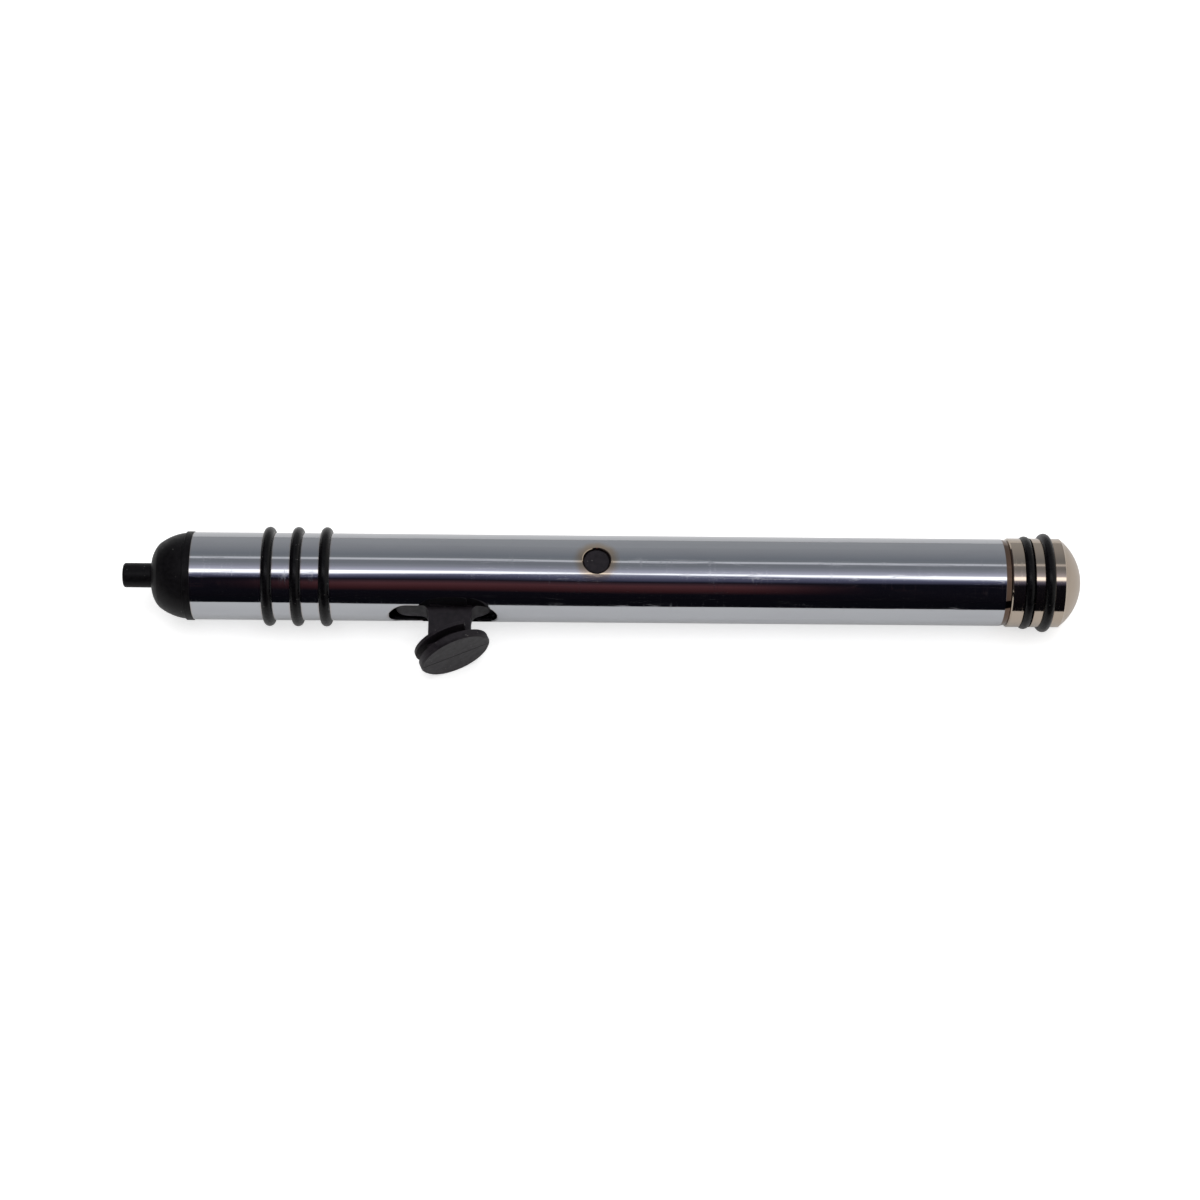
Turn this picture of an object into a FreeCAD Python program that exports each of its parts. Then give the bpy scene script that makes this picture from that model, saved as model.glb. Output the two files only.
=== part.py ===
"""Vacuum pick up pen: a plated tube with a rubber suction bulb worked by a lever.

Millimetres. The pen's axis is X and the origin is the centre of the nozzle's mouth, so the tip
points along -X and the domed cap is at the far +X end. Every piece is drawn with the slot facing
-Z, and is then rolled about X by one angle, at which the rings and the button's rim rest on one
level surface.
"""

import FreeCAD, Part

import math
import os

import Sketcher

# Driving sizes, in millimetres unless a comment says otherwise.
SIZES = {
    # plated tube
    "tube_diameter": 13.0,
    "tube_wall": 1.1,
    "tube_length": 120.9,
    "tube_mouth_bevel": 0.25,
    "end_bevel_length": 0.9,
    "end_bevel_depth": 0.2,
    # slot in the tube, its middle measured from the nozzle's mouth
    "slot_middle": 47.5,
    "slot_length": 16.0,
    "slot_width": 5.2,
    "slot_edge": 0.15,
    # rings of round rubber cord
    "ring_cord": 1.5,
    "ring_stand": 0.9,
    "ring_side_gap": 0.05,
    "grip_ring_first": 11.2,
    "grip_ring_pitch": 4.22,
    # black nose
    "nozzle_length": 4.2,
    "nozzle_diameter": 3.66,
    "nozzle_bore": 1.6,
    "nozzle_edge": 0.4,
    "dome_length": 5.2,
    "dome_face_length": 0.22,
    "dome_face_rise": 1.07,
    "dome_shoulder_length": 1.27,
    "dome_shoulder_drop": 1.7,
    "dome_shoulder_round": 4.0,
    "dome_flank_round": 7.8,
    "dome_back_drop": 0.1,
    "nose_lip_length": 1.1,
    "nose_lip_stand": 0.1,
    "nose_spigot_length": 7.0,
    # barbed connector in the nose
    "needle_stop": 0.2,
    "connector_wall": 1.4,
    "connector_grip": 6.0,
    "connector_flange": 1.0,
    "connector_flange_diameter": 7.4,
    "barb_pitch": 2.2,
    "barb_depth": 0.45,
    "barb_root_length": 0.66,
    "connector_mouth_wall": 0.7,
    # rubber bulb, its end measured from the slot's middle
    "bulb_wall": 1.1,
    "bulb_overrun": 5.9,
    # lever and its pin
    "pin_station": 70.1,
    "pin_diameter": 4.1,
    "pin_recess": 0.6,
    "pin_edge": 0.25,
    "pin_clearance": 0.05,
    "pin_hole_edge": 0.12,
    "eye_wall": 1.3,
    "lever_width": 4.0,
    "wall_gap": 0.1,
    "arm_front_height": 2.0,
    "arm_under_wall": 3.4,
    "arm_rise": 0.9,
    "arm_lean": 16.0,  # degrees
    "saddle_length": 14.0,
    "saddle_width": 4.4,
    "saddle_recess": 1.1,
    "saddle_height": 1.9,
    "saddle_crown": 1.15,
    "saddle_edge": 0.3,
    "bulb_gap": 0.05,
    # stem, measured from the slot's middle
    "stem_offset": 1.05,
    "stem_width": 6.2,
    "stem_root": 1.4,
    # spool shaped button at the end of the stem
    "button_reach": 3.86,
    "button_tilt": 23.4,  # degrees
    "button_diameter": 10.86,
    "button_bevel": 0.4,
    "button_bevel_drop": 0.45,
    "button_disc": 1.3,
    "button_groove": 0.9,
    "button_core_diameter": 7.4,
    "button_flange": 0.7,
    "button_flange_diameter": 10.7,
    # plug between the lever and the hollow handle
    "plug_gap": 2.2,
    "plug_length": 4.0,
    "plug_wall": 0.9,
    # domed end cap
    "cap_diameter": 13.3,
    "cap_length": 8.0,
    "cap_dome_height": 3.15,
    "cap_dome_edge": 0.15,
    "cap_bevel": 0.15,
    "spigot_length": 7.5,
    "spigot_clearance": 0.05,
    "spigot_bevel": 0.6,
    "cap_ring_first": 2.7,
    "cap_ring_pitch": 2.9,
    "cap_ring_sink": 0.45,
    "friction_cord": 1.0,
    "friction_clearance": 0.03,
    "friction_set_back": 3.6,
}

GRIP_RINGS = 3
BARBS = 3

# Slack for telling a feature's edges apart by their boxes.
EDGE_SLACK = 0.01

# Sizes worked out from the driving ones, as expressions that every piece shares.
TUBE_RADIUS = "(Sizes.tube_diameter / 2)"
BORE_RADIUS = f"({TUBE_RADIUS} - Sizes.tube_wall)"
TUBE_FRONT = "(Sizes.nozzle_length + Sizes.dome_length + Sizes.nose_lip_length)"
TUBE_BACK = f"({TUBE_FRONT} + Sizes.tube_length)"
RING_REACH = f"({TUBE_RADIUS} + Sizes.ring_stand)"
GROOVE_FLOOR = f"({RING_REACH} - Sizes.ring_cord)"
RING_MIDDLE = f"({RING_REACH} - Sizes.ring_cord / 2)"
GROOVE_WIDTH = "(Sizes.ring_cord + 2 * Sizes.ring_side_gap)"
GRIP_RING_FIRST = f"({TUBE_FRONT} + Sizes.grip_ring_first)"
PIN_RADIUS = "(Sizes.pin_diameter / 2)"
EYE_BORE = f"({PIN_RADIUS} + Sizes.pin_clearance)"
EYE_RADIUS = f"({EYE_BORE} + Sizes.eye_wall)"
SADDLE_TOP = f"({TUBE_RADIUS} - Sizes.saddle_recess)"
BULB_RADIUS = f"({SADDLE_TOP} - Sizes.saddle_crown - Sizes.bulb_gap)"
BULB_BORE = f"({BULB_RADIUS} - Sizes.bulb_wall)"
SPIGOT_BACK = f"({TUBE_FRONT} + Sizes.nose_spigot_length)"
BULB_FRONT = f"({SPIGOT_BACK} + Sizes.connector_flange)"
BULB_END = "(Sizes.slot_middle + Sizes.bulb_overrun)"
BULB_ROUND = f"({BULB_END} - {BULB_RADIUS})"
STEM_STATION = "(Sizes.slot_middle + Sizes.stem_offset)"
# The connector's bore is narrower than the nose's, so that a needle's shank stops against it.
CONNECTOR_BORE = "(Sizes.nozzle_bore / 2 - Sizes.needle_stop)"
CONNECTOR_RADIUS = f"({CONNECTOR_BORE} + Sizes.connector_wall)"
BUTTON_TILT = "(Sizes.button_tilt * 1 deg)"
FLANGE_REACH = f"({TUBE_RADIUS} + Sizes.button_reach)"
CAP_RADIUS = "(Sizes.cap_diameter / 2)"
CAP_RING_FIRST = f"({TUBE_BACK} + Sizes.cap_ring_first)"
CAP_RING_SECOND = f"({CAP_RING_FIRST} + Sizes.cap_ring_pitch)"
# The first cap ring sits deeper than the second, which reaches as far out as the grip rings.
CAP_RING_FLOORS = (f"({GROOVE_FLOOR} - Sizes.cap_ring_sink)", GROOVE_FLOOR)
SPIGOT_RADIUS = f"({BORE_RADIUS} - Sizes.spigot_clearance)"
FRICTION_REACH = f"({BORE_RADIUS} - Sizes.friction_clearance)"
FRICTION_STATION = f"({TUBE_BACK} - Sizes.friction_set_back)"

# The button's outer rim and the rings touch the same level surface. The rim is a tilted circle,
# so the sine of the roll is the smaller root of a quadratic.
RIM_REACH = (
    f"({FLANGE_REACH} + cos({BUTTON_TILT}) * (Sizes.button_flange / 2 + Sizes.button_groove"
    " + Sizes.button_disc - Sizes.button_bevel_drop))"
)
RIM_RADIUS = "(Sizes.button_diameter / 2)"
RIM_SPREAD = f"({RIM_REACH}^2 + ({RIM_RADIUS} * cos({BUTTON_TILT}))^2)"
REST_SINE = (
    f"(({RING_REACH} * {RIM_REACH} - sqrt(({RING_REACH} * {RIM_REACH})^2"
    f" - {RIM_SPREAD} * ({RING_REACH}^2 - {RIM_RADIUS}^2))) / {RIM_SPREAD})"
)
REST_ROLL = f"asin({REST_SINE}) - 90 deg"

DOCUMENT = FreeCAD.newDocument("VacuumPickUpPen")
SHEET = DOCUMENT.addObject("Spreadsheet::Sheet", "Sizes")
PIECES = []


def fill_sheet():
    """Write every driving size into the sheet under its own alias."""
    for row, (alias, size) in enumerate(SIZES.items(), start=1):
        SHEET.set(f"A{row}", str(size))
        SHEET.setAlias(f"A{row}", alias)
    DOCUMENT.recompute()


def value(expression):
    """The present value of an expression of the sheet's sizes."""
    result = SHEET.evalExpression(expression)
    return float(getattr(result, "Value", result))


def new_body(label):
    """A body that is one piece of the pen, rolled about the pen's axis to its place at rest."""
    body = DOCUMENT.addObject("PartDesign::Body", label)
    rolled = FreeCAD.Rotation(FreeCAD.Vector(1, 0, 0), value(REST_ROLL))
    body.Placement = FreeCAD.Placement(FreeCAD.Vector(), rolled)
    body.setExpression("Placement.Rotation.Angle", REST_ROLL)
    PIECES.append(body)
    return body


def origin_feature(body, role):
    """One of the body's own origin planes or axes."""
    return next(item for item in body.Origin.OriginFeatures if item.Role == role)


def new_sketch(body, name, role):
    """An empty sketch on one of the body's origin planes."""
    sketch = body.newObject("Sketcher::SketchObject", name)
    sketch.AttachmentSupport = [(origin_feature(body, role), "")]
    sketch.MapMode = "FlatFace"
    return sketch


def bind(sketch, kind, name, place, expression):
    """Add one measured constraint and tie it to the sheet."""
    index = sketch.addConstraint(Sketcher.Constraint(kind, *place, value(expression)))
    sketch.renameConstraint(index, name)
    sketch.setExpression(f"Constraints.{name}", expression)


def line_to(across, along):
    """A straight edge to a point given by two expressions."""
    return across, along, None, None


def arc_to(across, along, radius, turn):
    """A round edge to a point, turning "left" or "right" with the given radius."""
    return across, along, radius, turn


def round_edge(first, last, radius, turn):
    """The arc geometry from one point to another, and the end of it at which it starts."""
    chord = last - first
    rise = math.sqrt(max(radius**2 - (chord.Length / 2) ** 2, 0.0))
    side = 1 if turn == "left" else -1
    square = FreeCAD.Vector(-chord.y, chord.x, 0).normalize()
    centre = (first + last) * 0.5 + square * (rise * side)
    start, end = (first, last) if turn == "left" else (last, first)
    circle = Part.Circle(centre, FreeCAD.Vector(0, 0, 1), radius)
    angles = [math.atan2(point.y - centre.y, point.x - centre.x) for point in (start, end)]
    if angles[1] < angles[0]:
        angles[1] += 2 * math.pi
    return Part.ArcOfCircle(circle, *angles), 1 if turn == "left" else 2


def draw_outline(sketch, start, *edges):
    """Draw a closed outline whose corners and radii are all tied to the sheet."""
    corners = [start] + [edge[:2] for edge in edges]
    if corners[-1] != start:
        edges += (line_to(*start),)
    else:
        corners.pop()
    spots = [FreeCAD.Vector(value(across), value(along), 0) for across, along in corners]
    joints = []
    for index, (_, _, radius, turn) in enumerate(edges):
        first = spots[index]
        last = spots[(index + 1) % len(spots)]
        if radius is None:
            geometry, start_end = Part.LineSegment(first, last), 1
        else:
            geometry, start_end = round_edge(first, last, value(radius), turn)
        number = sketch.addGeometry(geometry)
        joints.append((number, start_end, 3 - start_end))
        if radius is not None:
            bind(sketch, "Radius", f"radius_{number}", (number,), radius)
    for index, (number, start_end, _) in enumerate(joints):
        before, _, before_end = joints[index - 1]
        sketch.addConstraint(Sketcher.Constraint("Coincident", before, before_end, number, start_end))
        across, along = corners[index]
        bind(sketch, "DistanceX", f"across_{number}", (-1, 1, number, start_end), across)
        bind(sketch, "DistanceY", f"along_{number}", (-1, 1, number, start_end), along)


def draw_circle(sketch, across, along, radius):
    """Draw a circle whose middle and radius are tied to the sheet."""
    centre = FreeCAD.Vector(value(across), value(along), 0)
    number = sketch.addGeometry(Part.Circle(centre, FreeCAD.Vector(0, 0, 1), value(radius)))
    bind(sketch, "Radius", f"radius_{number}", (number,), radius)
    bind(sketch, "DistanceX", f"across_{number}", (-1, 1, number, 3), across)
    bind(sketch, "DistanceY", f"along_{number}", (-1, 1, number, 3), along)


def draw_stadium(sketch, middle, length, width):
    """Draw a slot shape along the sketch's first axis, with quarter circles for its round ends."""
    front = f"({middle} - {length} / 2)"
    back = f"({middle} + {length} / 2)"
    half = f"({width} / 2)"
    draw_outline(
        sketch,
        (f"{front} + {half}", f"-{half}"),
        line_to(f"{back} - {half}", f"-{half}"),
        arc_to(back, "0", half, "left"),
        arc_to(f"{back} - {half}", half, half, "left"),
        line_to(f"{front} + {half}", half),
        arc_to(front, "0", half, "left"),
        arc_to(f"{front} + {half}", f"-{half}", half, "left"),
    )


def turn(body, name, sketch, axis="H_Axis", cut=False):
    """Turn a sketch right round one of its axes, as added or removed material."""
    kind = "PartDesign::Groove" if cut else "PartDesign::Revolution"
    feature = body.newObject(kind, name)
    feature.Profile = sketch
    feature.ReferenceAxis = (sketch, [axis])
    feature.Angle = 360
    return feature


def raise_pad(body, name, sketch, length, symmetric=False):
    """Push a sketch out by a length, to one side or half to each side."""
    feature = body.newObject("PartDesign::Pad", name)
    feature.Profile = sketch
    feature.SideType = "Symmetric" if symmetric else "One side"
    feature.setExpression("Length", length)
    return feature


def cut_pocket(body, name, sketch, length, symmetric=False):
    """Cut a sketch into the body by a length, to one side or half to each side."""
    feature = body.newObject("PartDesign::Pocket", name)
    feature.Profile = sketch
    feature.SideType = "Symmetric" if symmetric else "One side"
    feature.setExpression("Length", length)
    return feature


def bevel_edges(body, name, base, edges, size, kind="PartDesign::Chamfer"):
    """Bevel or round the named edges of a feature."""
    feature = body.newObject(kind, name)
    feature.Base = (base, edges)
    feature.setExpression("Size" if kind.endswith("Chamfer") else "Radius", size)
    return feature


def edges_where(feature, test):
    """Names of a feature's edges that pass a test of their box."""
    DOCUMENT.recompute()
    return [
        f"Edge{number}"
        for number, edge in enumerate(feature.Shape.Edges, start=1)
        if test(edge.BoundBox)
    ]


def make_barrel_tube():
    """Plated tube: bevelled ends, three ring grooves, the lever's slot and two pin holes."""
    body = new_body("barrel_tube")
    wall = new_sketch(body, "tube_wall_section", "XZ_Plane")
    draw_outline(
        wall,
        (TUBE_FRONT, f"{BORE_RADIUS} + Sizes.tube_mouth_bevel"),
        line_to(f"{TUBE_FRONT} + Sizes.tube_mouth_bevel", BORE_RADIUS),
        line_to(TUBE_BACK, BORE_RADIUS),
        line_to(TUBE_BACK, f"{TUBE_RADIUS} - Sizes.end_bevel_depth"),
        line_to(f"{TUBE_BACK} - Sizes.end_bevel_length", TUBE_RADIUS),
        line_to(TUBE_FRONT, TUBE_RADIUS),
    )
    turn(body, "tube_wall_turned", wall)

    groove = new_sketch(body, "grip_groove_section", "XZ_Plane")
    front = f"{GRIP_RING_FIRST} - {GROOVE_WIDTH} / 2"
    back = f"{GRIP_RING_FIRST} + {GROOVE_WIDTH} / 2"
    draw_outline(
        groove,
        (front, GROOVE_FLOOR),
        line_to(back, GROOVE_FLOOR),
        line_to(back, RING_REACH),
        line_to(front, RING_REACH),
    )
    first_groove = turn(body, "grip_groove", groove, cut=True)
    row = body.newObject("PartDesign::LinearPattern", "grip_groove_row")
    row.Originals = [first_groove]
    row.Direction = (origin_feature(body, "X_Axis"), [""])
    row.Occurrences = GRIP_RINGS
    row.setExpression("Length", f"{GRIP_RINGS - 1} * Sizes.grip_ring_pitch")
    body.Tip = row

    slot = new_sketch(body, "lever_slot_outline", "XY_Plane")
    draw_stadium(slot, "Sizes.slot_middle", "Sizes.slot_length", "Sizes.slot_width")
    opening = cut_pocket(body, "lever_slot", slot, RING_REACH)
    slot_front = value("Sizes.slot_middle - Sizes.slot_length / 2") - EDGE_SLACK
    slot_back = value("Sizes.slot_middle + Sizes.slot_length / 2") + EDGE_SLACK
    bore = value(BORE_RADIUS) + EDGE_SLACK
    rim = edges_where(
        opening, lambda box: box.ZMax < -bore and box.XMin > slot_front and box.XMax < slot_back
    )
    bevel_edges(body, "slot_edge_break", opening, rim, "Sizes.slot_edge")

    holes = new_sketch(body, "pin_hole_outline", "XZ_Plane")
    draw_circle(holes, "Sizes.pin_station", "0", PIN_RADIUS)
    drilled = cut_pocket(body, "pin_holes", holes, f"2 * {RING_REACH}", symmetric=True)
    hole_front = value(f"Sizes.pin_station - {PIN_RADIUS}") - EDGE_SLACK
    hole_back = value(f"Sizes.pin_station + {PIN_RADIUS}") + EDGE_SLACK
    rims = edges_where(
        drilled,
        lambda box: min(abs(box.YMin), abs(box.YMax)) > bore
        and box.XMin > hole_front
        and box.XMax < hole_back,
    )
    bevel_edges(body, "pin_hole_edge_break", drilled, rims, "Sizes.pin_hole_edge")


def make_nose_cone():
    """Black nose in one moulding: nozzle, dome, lip against the tube, spigot and bored middle."""
    body = new_body("nose_cone")
    outside = new_sketch(body, "nose_section", "XZ_Plane")
    nozzle = "(Sizes.nozzle_diameter / 2)"
    edge = "Sizes.nozzle_edge"
    face = "Sizes.nozzle_length + Sizes.dome_face_length"
    shoulder = "Sizes.nozzle_length + Sizes.dome_shoulder_length"
    shoulder_radius = f"{TUBE_RADIUS} - Sizes.dome_shoulder_drop"
    lip_front = f"({TUBE_FRONT} - Sizes.nose_lip_length)"
    lip = f"({TUBE_RADIUS} + Sizes.nose_lip_stand)"
    draw_outline(
        outside,
        ("0", "0"),
        line_to("0", f"{nozzle} - {edge}"),
        arc_to(edge, nozzle, edge, "right"),
        line_to("Sizes.nozzle_length", nozzle),
        line_to(face, f"{nozzle} + Sizes.dome_face_rise"),
        arc_to(shoulder, shoulder_radius, "Sizes.dome_shoulder_round", "right"),
        arc_to(lip_front, f"{TUBE_RADIUS} - Sizes.dome_back_drop", "Sizes.dome_flank_round", "right"),
        line_to(f"{lip_front} + Sizes.nose_lip_stand", lip),
        line_to(TUBE_FRONT, lip),
        line_to(TUBE_FRONT, BORE_RADIUS),
        line_to(SPIGOT_BACK, BORE_RADIUS),
        line_to(SPIGOT_BACK, "0"),
    )
    turn(body, "nose_turned", outside)

    bores = new_sketch(body, "nose_bore_section", "XZ_Plane")
    socket = f"({SPIGOT_BACK} - Sizes.connector_grip)"
    draw_outline(
        bores,
        ("0", "0"),
        line_to(SPIGOT_BACK, "0"),
        line_to(SPIGOT_BACK, CONNECTOR_RADIUS),
        line_to(socket, CONNECTOR_RADIUS),
        line_to(socket, "Sizes.nozzle_bore / 2"),
        line_to("0", "Sizes.nozzle_bore / 2"),
    )
    turn(body, "nose_bores", bores, cut=True)


def make_bulb_connector():
    """Turned connector pressed into the nose, with three barbs that hold the bulb's neck."""
    body = new_body("bulb_connector")
    section = new_sketch(body, "connector_section", "XZ_Plane")
    front = f"({SPIGOT_BACK} - Sizes.connector_grip)"
    flange = "(Sizes.connector_flange_diameter / 2)"
    root = f"({BULB_BORE} - Sizes.barb_depth)"
    edges = [
        line_to(front, CONNECTOR_RADIUS),
        line_to(SPIGOT_BACK, CONNECTOR_RADIUS),
        line_to(SPIGOT_BACK, flange),
        line_to(BULB_FRONT, flange),
    ]
    for barb in range(BARBS):
        start = f"({BULB_FRONT} + {barb} * Sizes.barb_pitch)"
        edges += [
            line_to(start, root),
            line_to(f"{start} + Sizes.barb_root_length", root),
            line_to(f"{start} + Sizes.barb_root_length", BULB_BORE),
        ]
    back = f"({BULB_FRONT} + {BARBS} * Sizes.barb_pitch)"
    edges += [
        line_to(back, f"{CONNECTOR_BORE} + Sizes.connector_mouth_wall"),
        line_to(back, CONNECTOR_BORE),
    ]
    draw_outline(section, (front, CONNECTOR_BORE), *edges)
    turn(body, "connector_turned", section)


def make_suction_bulb():
    """Rubber bulb: a round sleeve with an open neck on the barbs and a closed round end."""
    body = new_body("suction_bulb")
    section = new_sketch(body, "bulb_section", "XZ_Plane")
    draw_outline(
        section,
        (BULB_FRONT, BULB_BORE),
        line_to(BULB_FRONT, BULB_RADIUS),
        line_to(BULB_ROUND, BULB_RADIUS),
        arc_to(BULB_END, "0", BULB_RADIUS, "right"),
        line_to(f"{BULB_END} - Sizes.bulb_wall", "0"),
        arc_to(BULB_ROUND, BULB_BORE, BULB_BORE, "left"),
    )
    turn(body, "bulb_turned", section)


def make_lever():
    """One moulding: saddle in the slot, arm and eye inside the tube, stem and spool button."""
    body = new_body("lever")
    saddle = new_sketch(body, "saddle_outline", "XY_Plane")
    saddle.setExpression("AttachmentOffset.Base.z", f"-{SADDLE_TOP}")
    draw_stadium(saddle, "Sizes.slot_middle", "Sizes.saddle_length", "Sizes.saddle_width")
    slab = raise_pad(body, "saddle", saddle, "Sizes.saddle_height")
    top = edges_where(slab, lambda box: box.ZMax < -value(SADDLE_TOP) + EDGE_SLACK)
    bevel_edges(body, "saddle_rounding", slab, top, "Sizes.saddle_edge", "PartDesign::Fillet")

    arm = new_sketch(body, "arm_outline", "XZ_Plane")
    saddle_back = "(Sizes.slot_middle + Sizes.saddle_length / 2)"
    slot_back = "(Sizes.slot_middle + Sizes.slot_length / 2)"
    under_wall = f"(sqrt(({BORE_RADIUS} - Sizes.wall_gap)^2 - (Sizes.lever_width / 2)^2))"
    arm_inside = f"({under_wall} - Sizes.arm_front_height)"
    lean_sine = "sin(Sizes.arm_lean * 1 deg)"
    lean_cosine = "cos(Sizes.arm_lean * 1 deg)"
    draw_outline(
        arm,
        (f"{saddle_back} - Sizes.saddle_width / 2", f"-{under_wall}"),
        line_to(f"{slot_back} + Sizes.arm_under_wall", f"-{under_wall}"),
        line_to(f"Sizes.pin_station + {EYE_RADIUS} * {lean_sine}", f"-{EYE_RADIUS} * {lean_cosine}"),
        line_to(f"Sizes.pin_station - {EYE_RADIUS} * {lean_sine}", f"{EYE_RADIUS} * {lean_cosine}"),
        line_to(f"{slot_back} + Sizes.arm_under_wall", f"-{arm_inside} + Sizes.arm_rise"),
        line_to(slot_back, f"-{arm_inside}"),
        line_to(f"{saddle_back} - Sizes.saddle_width / 2", f"-{arm_inside}"),
    )
    raise_pad(body, "arm", arm, "Sizes.lever_width", symmetric=True)
    eye = new_sketch(body, "eye_outline", "XZ_Plane")
    draw_circle(eye, "Sizes.pin_station", "0", EYE_RADIUS)
    raise_pad(body, "eye", eye, "Sizes.lever_width", symmetric=True)
    # Cut after the arm is added, so that the arm clears the bulb as the saddle does.
    cradle = new_sketch(body, "cradle_section", "XZ_Plane")
    clear = f"({BULB_RADIUS} + Sizes.bulb_gap)"
    cradle_front = "(Sizes.slot_middle - Sizes.saddle_length)"
    draw_outline(
        cradle,
        (cradle_front, "0"),
        line_to(f"{BULB_ROUND} + {clear}", "0"),
        arc_to(BULB_ROUND, clear, clear, "left"),
        line_to(cradle_front, clear),
    )
    turn(body, "cradle", cradle, cut=True)

    bore = new_sketch(body, "eye_bore_outline", "XZ_Plane")
    draw_circle(bore, "Sizes.pin_station", "0", EYE_BORE)
    cut_pocket(body, "eye_bore", bore, "2 * Sizes.lever_width", symmetric=True)

    make_stem_and_button(body)


def make_stem_and_button(body):
    """Flared stem out of the saddle and the tilted spool that the thumb presses."""
    stem = new_sketch(body, "stem_outline", "XZ_Plane")
    front = f"({STEM_STATION} - Sizes.stem_width / 2)"
    back = f"({STEM_STATION} + Sizes.stem_width / 2)"
    root = "Sizes.stem_root"
    buried = f"({SADDLE_TOP} - Sizes.saddle_edge)"
    slope = f"tan({BUTTON_TILT}) * Sizes.stem_width / 2"
    draw_outline(
        stem,
        (f"{front} - {root}", f"-{SADDLE_TOP}"),
        arc_to(front, f"-{SADDLE_TOP} - {root}", root, "right"),
        line_to(front, f"-{FLANGE_REACH} - {slope}"),
        line_to(back, f"-{FLANGE_REACH} + {slope}"),
        line_to(back, f"-{SADDLE_TOP} - {root}"),
        arc_to(f"{back} + {root}", f"-{SADDLE_TOP}", root, "right"),
        line_to(f"{back} + {root}", f"-{buried}"),
        line_to(f"{front} - {root}", f"-{buried}"),
    )
    raise_pad(body, "stem", stem, "Sizes.lever_width", symmetric=True)

    spool = new_sketch(body, "button_section", "XZ_Plane")
    spool.setExpression("AttachmentOffset.Base.x", STEM_STATION)
    spool.setExpression("AttachmentOffset.Base.y", f"-{FLANGE_REACH}")
    spool.setExpression("AttachmentOffset.Rotation.Angle", BUTTON_TILT)
    half_flange = "(Sizes.button_flange / 2)"
    core = "Sizes.button_core_diameter / 2"
    disc_back = f"(-{half_flange} - Sizes.button_groove)"
    face = f"({disc_back} - Sizes.button_disc)"
    draw_outline(
        spool,
        ("0", half_flange),
        line_to("0", face),
        line_to(f"{RIM_RADIUS} - Sizes.button_bevel", face),
        line_to(RIM_RADIUS, f"{face} + Sizes.button_bevel_drop"),
        line_to(RIM_RADIUS, disc_back),
        line_to(core, disc_back),
        line_to(core, f"-{half_flange}"),
        line_to("Sizes.button_flange_diameter / 2", f"-{half_flange}"),
        line_to("Sizes.button_flange_diameter / 2", half_flange),
    )
    turn(body, "button", spool, axis="V_Axis")


def make_pivot_pin():
    """Pin pressed through the tube's two holes, its bevelled ends a little below the surface."""
    body = new_body("pivot_pin")
    section = new_sketch(body, "pin_outline", "XZ_Plane")
    draw_circle(section, "Sizes.pin_station", "0", PIN_RADIUS)
    length = f"2 * ({TUBE_RADIUS} - Sizes.pin_recess)"
    shank = raise_pad(body, "pin_shank", section, length, symmetric=True)
    ends = edges_where(shank, lambda box: box.YLength < EDGE_SLACK < box.XLength)
    bevel_edges(body, "pin_end_bevels", shank, ends, "Sizes.pin_edge")


def make_handle_plug():
    """Moulded cup that closes the hollow handle behind the lever's eye, floor to the handle."""
    body = new_body("handle_plug")
    section = new_sketch(body, "plug_section", "XZ_Plane")
    front = f"(Sizes.pin_station + {EYE_RADIUS} + Sizes.plug_gap)"
    back = f"({front} + Sizes.plug_length)"
    draw_outline(
        section,
        (back, "0"),
        line_to(f"{back} - Sizes.plug_wall", "0"),
        line_to(f"{back} - Sizes.plug_wall", f"{BORE_RADIUS} - Sizes.plug_wall"),
        line_to(front, f"{BORE_RADIUS} - Sizes.plug_wall"),
        line_to(front, BORE_RADIUS),
        line_to(back, BORE_RADIUS),
    )
    turn(body, "plug_turned", section)


def make_end_cap():
    """Turned and plated cap: bevelled spigot with a ring groove, two outer grooves, domed end."""
    body = new_body("end_cap")
    section = new_sketch(body, "cap_section", "XZ_Plane")
    spigot_front = f"({TUBE_BACK} - Sizes.spigot_length)"
    dome_start = f"({TUBE_BACK} + Sizes.cap_length)"
    dome_foot = f"({CAP_RADIUS} - Sizes.cap_dome_edge)"
    dome_sphere = f"(({dome_foot}^2 + Sizes.cap_dome_height^2) / (2 * Sizes.cap_dome_height))"
    draw_outline(
        section,
        (spigot_front, "0"),
        line_to(spigot_front, f"{SPIGOT_RADIUS} - Sizes.spigot_bevel"),
        line_to(f"{spigot_front} + Sizes.spigot_bevel", SPIGOT_RADIUS),
        line_to(TUBE_BACK, SPIGOT_RADIUS),
        line_to(TUBE_BACK, f"{CAP_RADIUS} - Sizes.cap_bevel"),
        line_to(f"{TUBE_BACK} + Sizes.cap_bevel", CAP_RADIUS),
        line_to(f"{dome_start} - Sizes.cap_dome_edge", CAP_RADIUS),
        line_to(dome_start, dome_foot),
        arc_to(f"{dome_start} + Sizes.cap_dome_height", "0", dome_sphere, "right"),
    )
    turn(body, "cap_turned", section)
    cut_ring_seat(body, "cap_seat_1", CAP_RING_FIRST, CAP_RING_FLOORS[0], CAP_RADIUS, "Sizes.ring_cord")
    cut_ring_seat(body, "cap_seat_2", CAP_RING_SECOND, CAP_RING_FLOORS[1], CAP_RADIUS, "Sizes.ring_cord")
    friction_floor = f"({FRICTION_REACH} - Sizes.friction_cord)"
    cut_ring_seat(
        body, "friction_seat", FRICTION_STATION, friction_floor, SPIGOT_RADIUS, "Sizes.friction_cord"
    )


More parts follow.
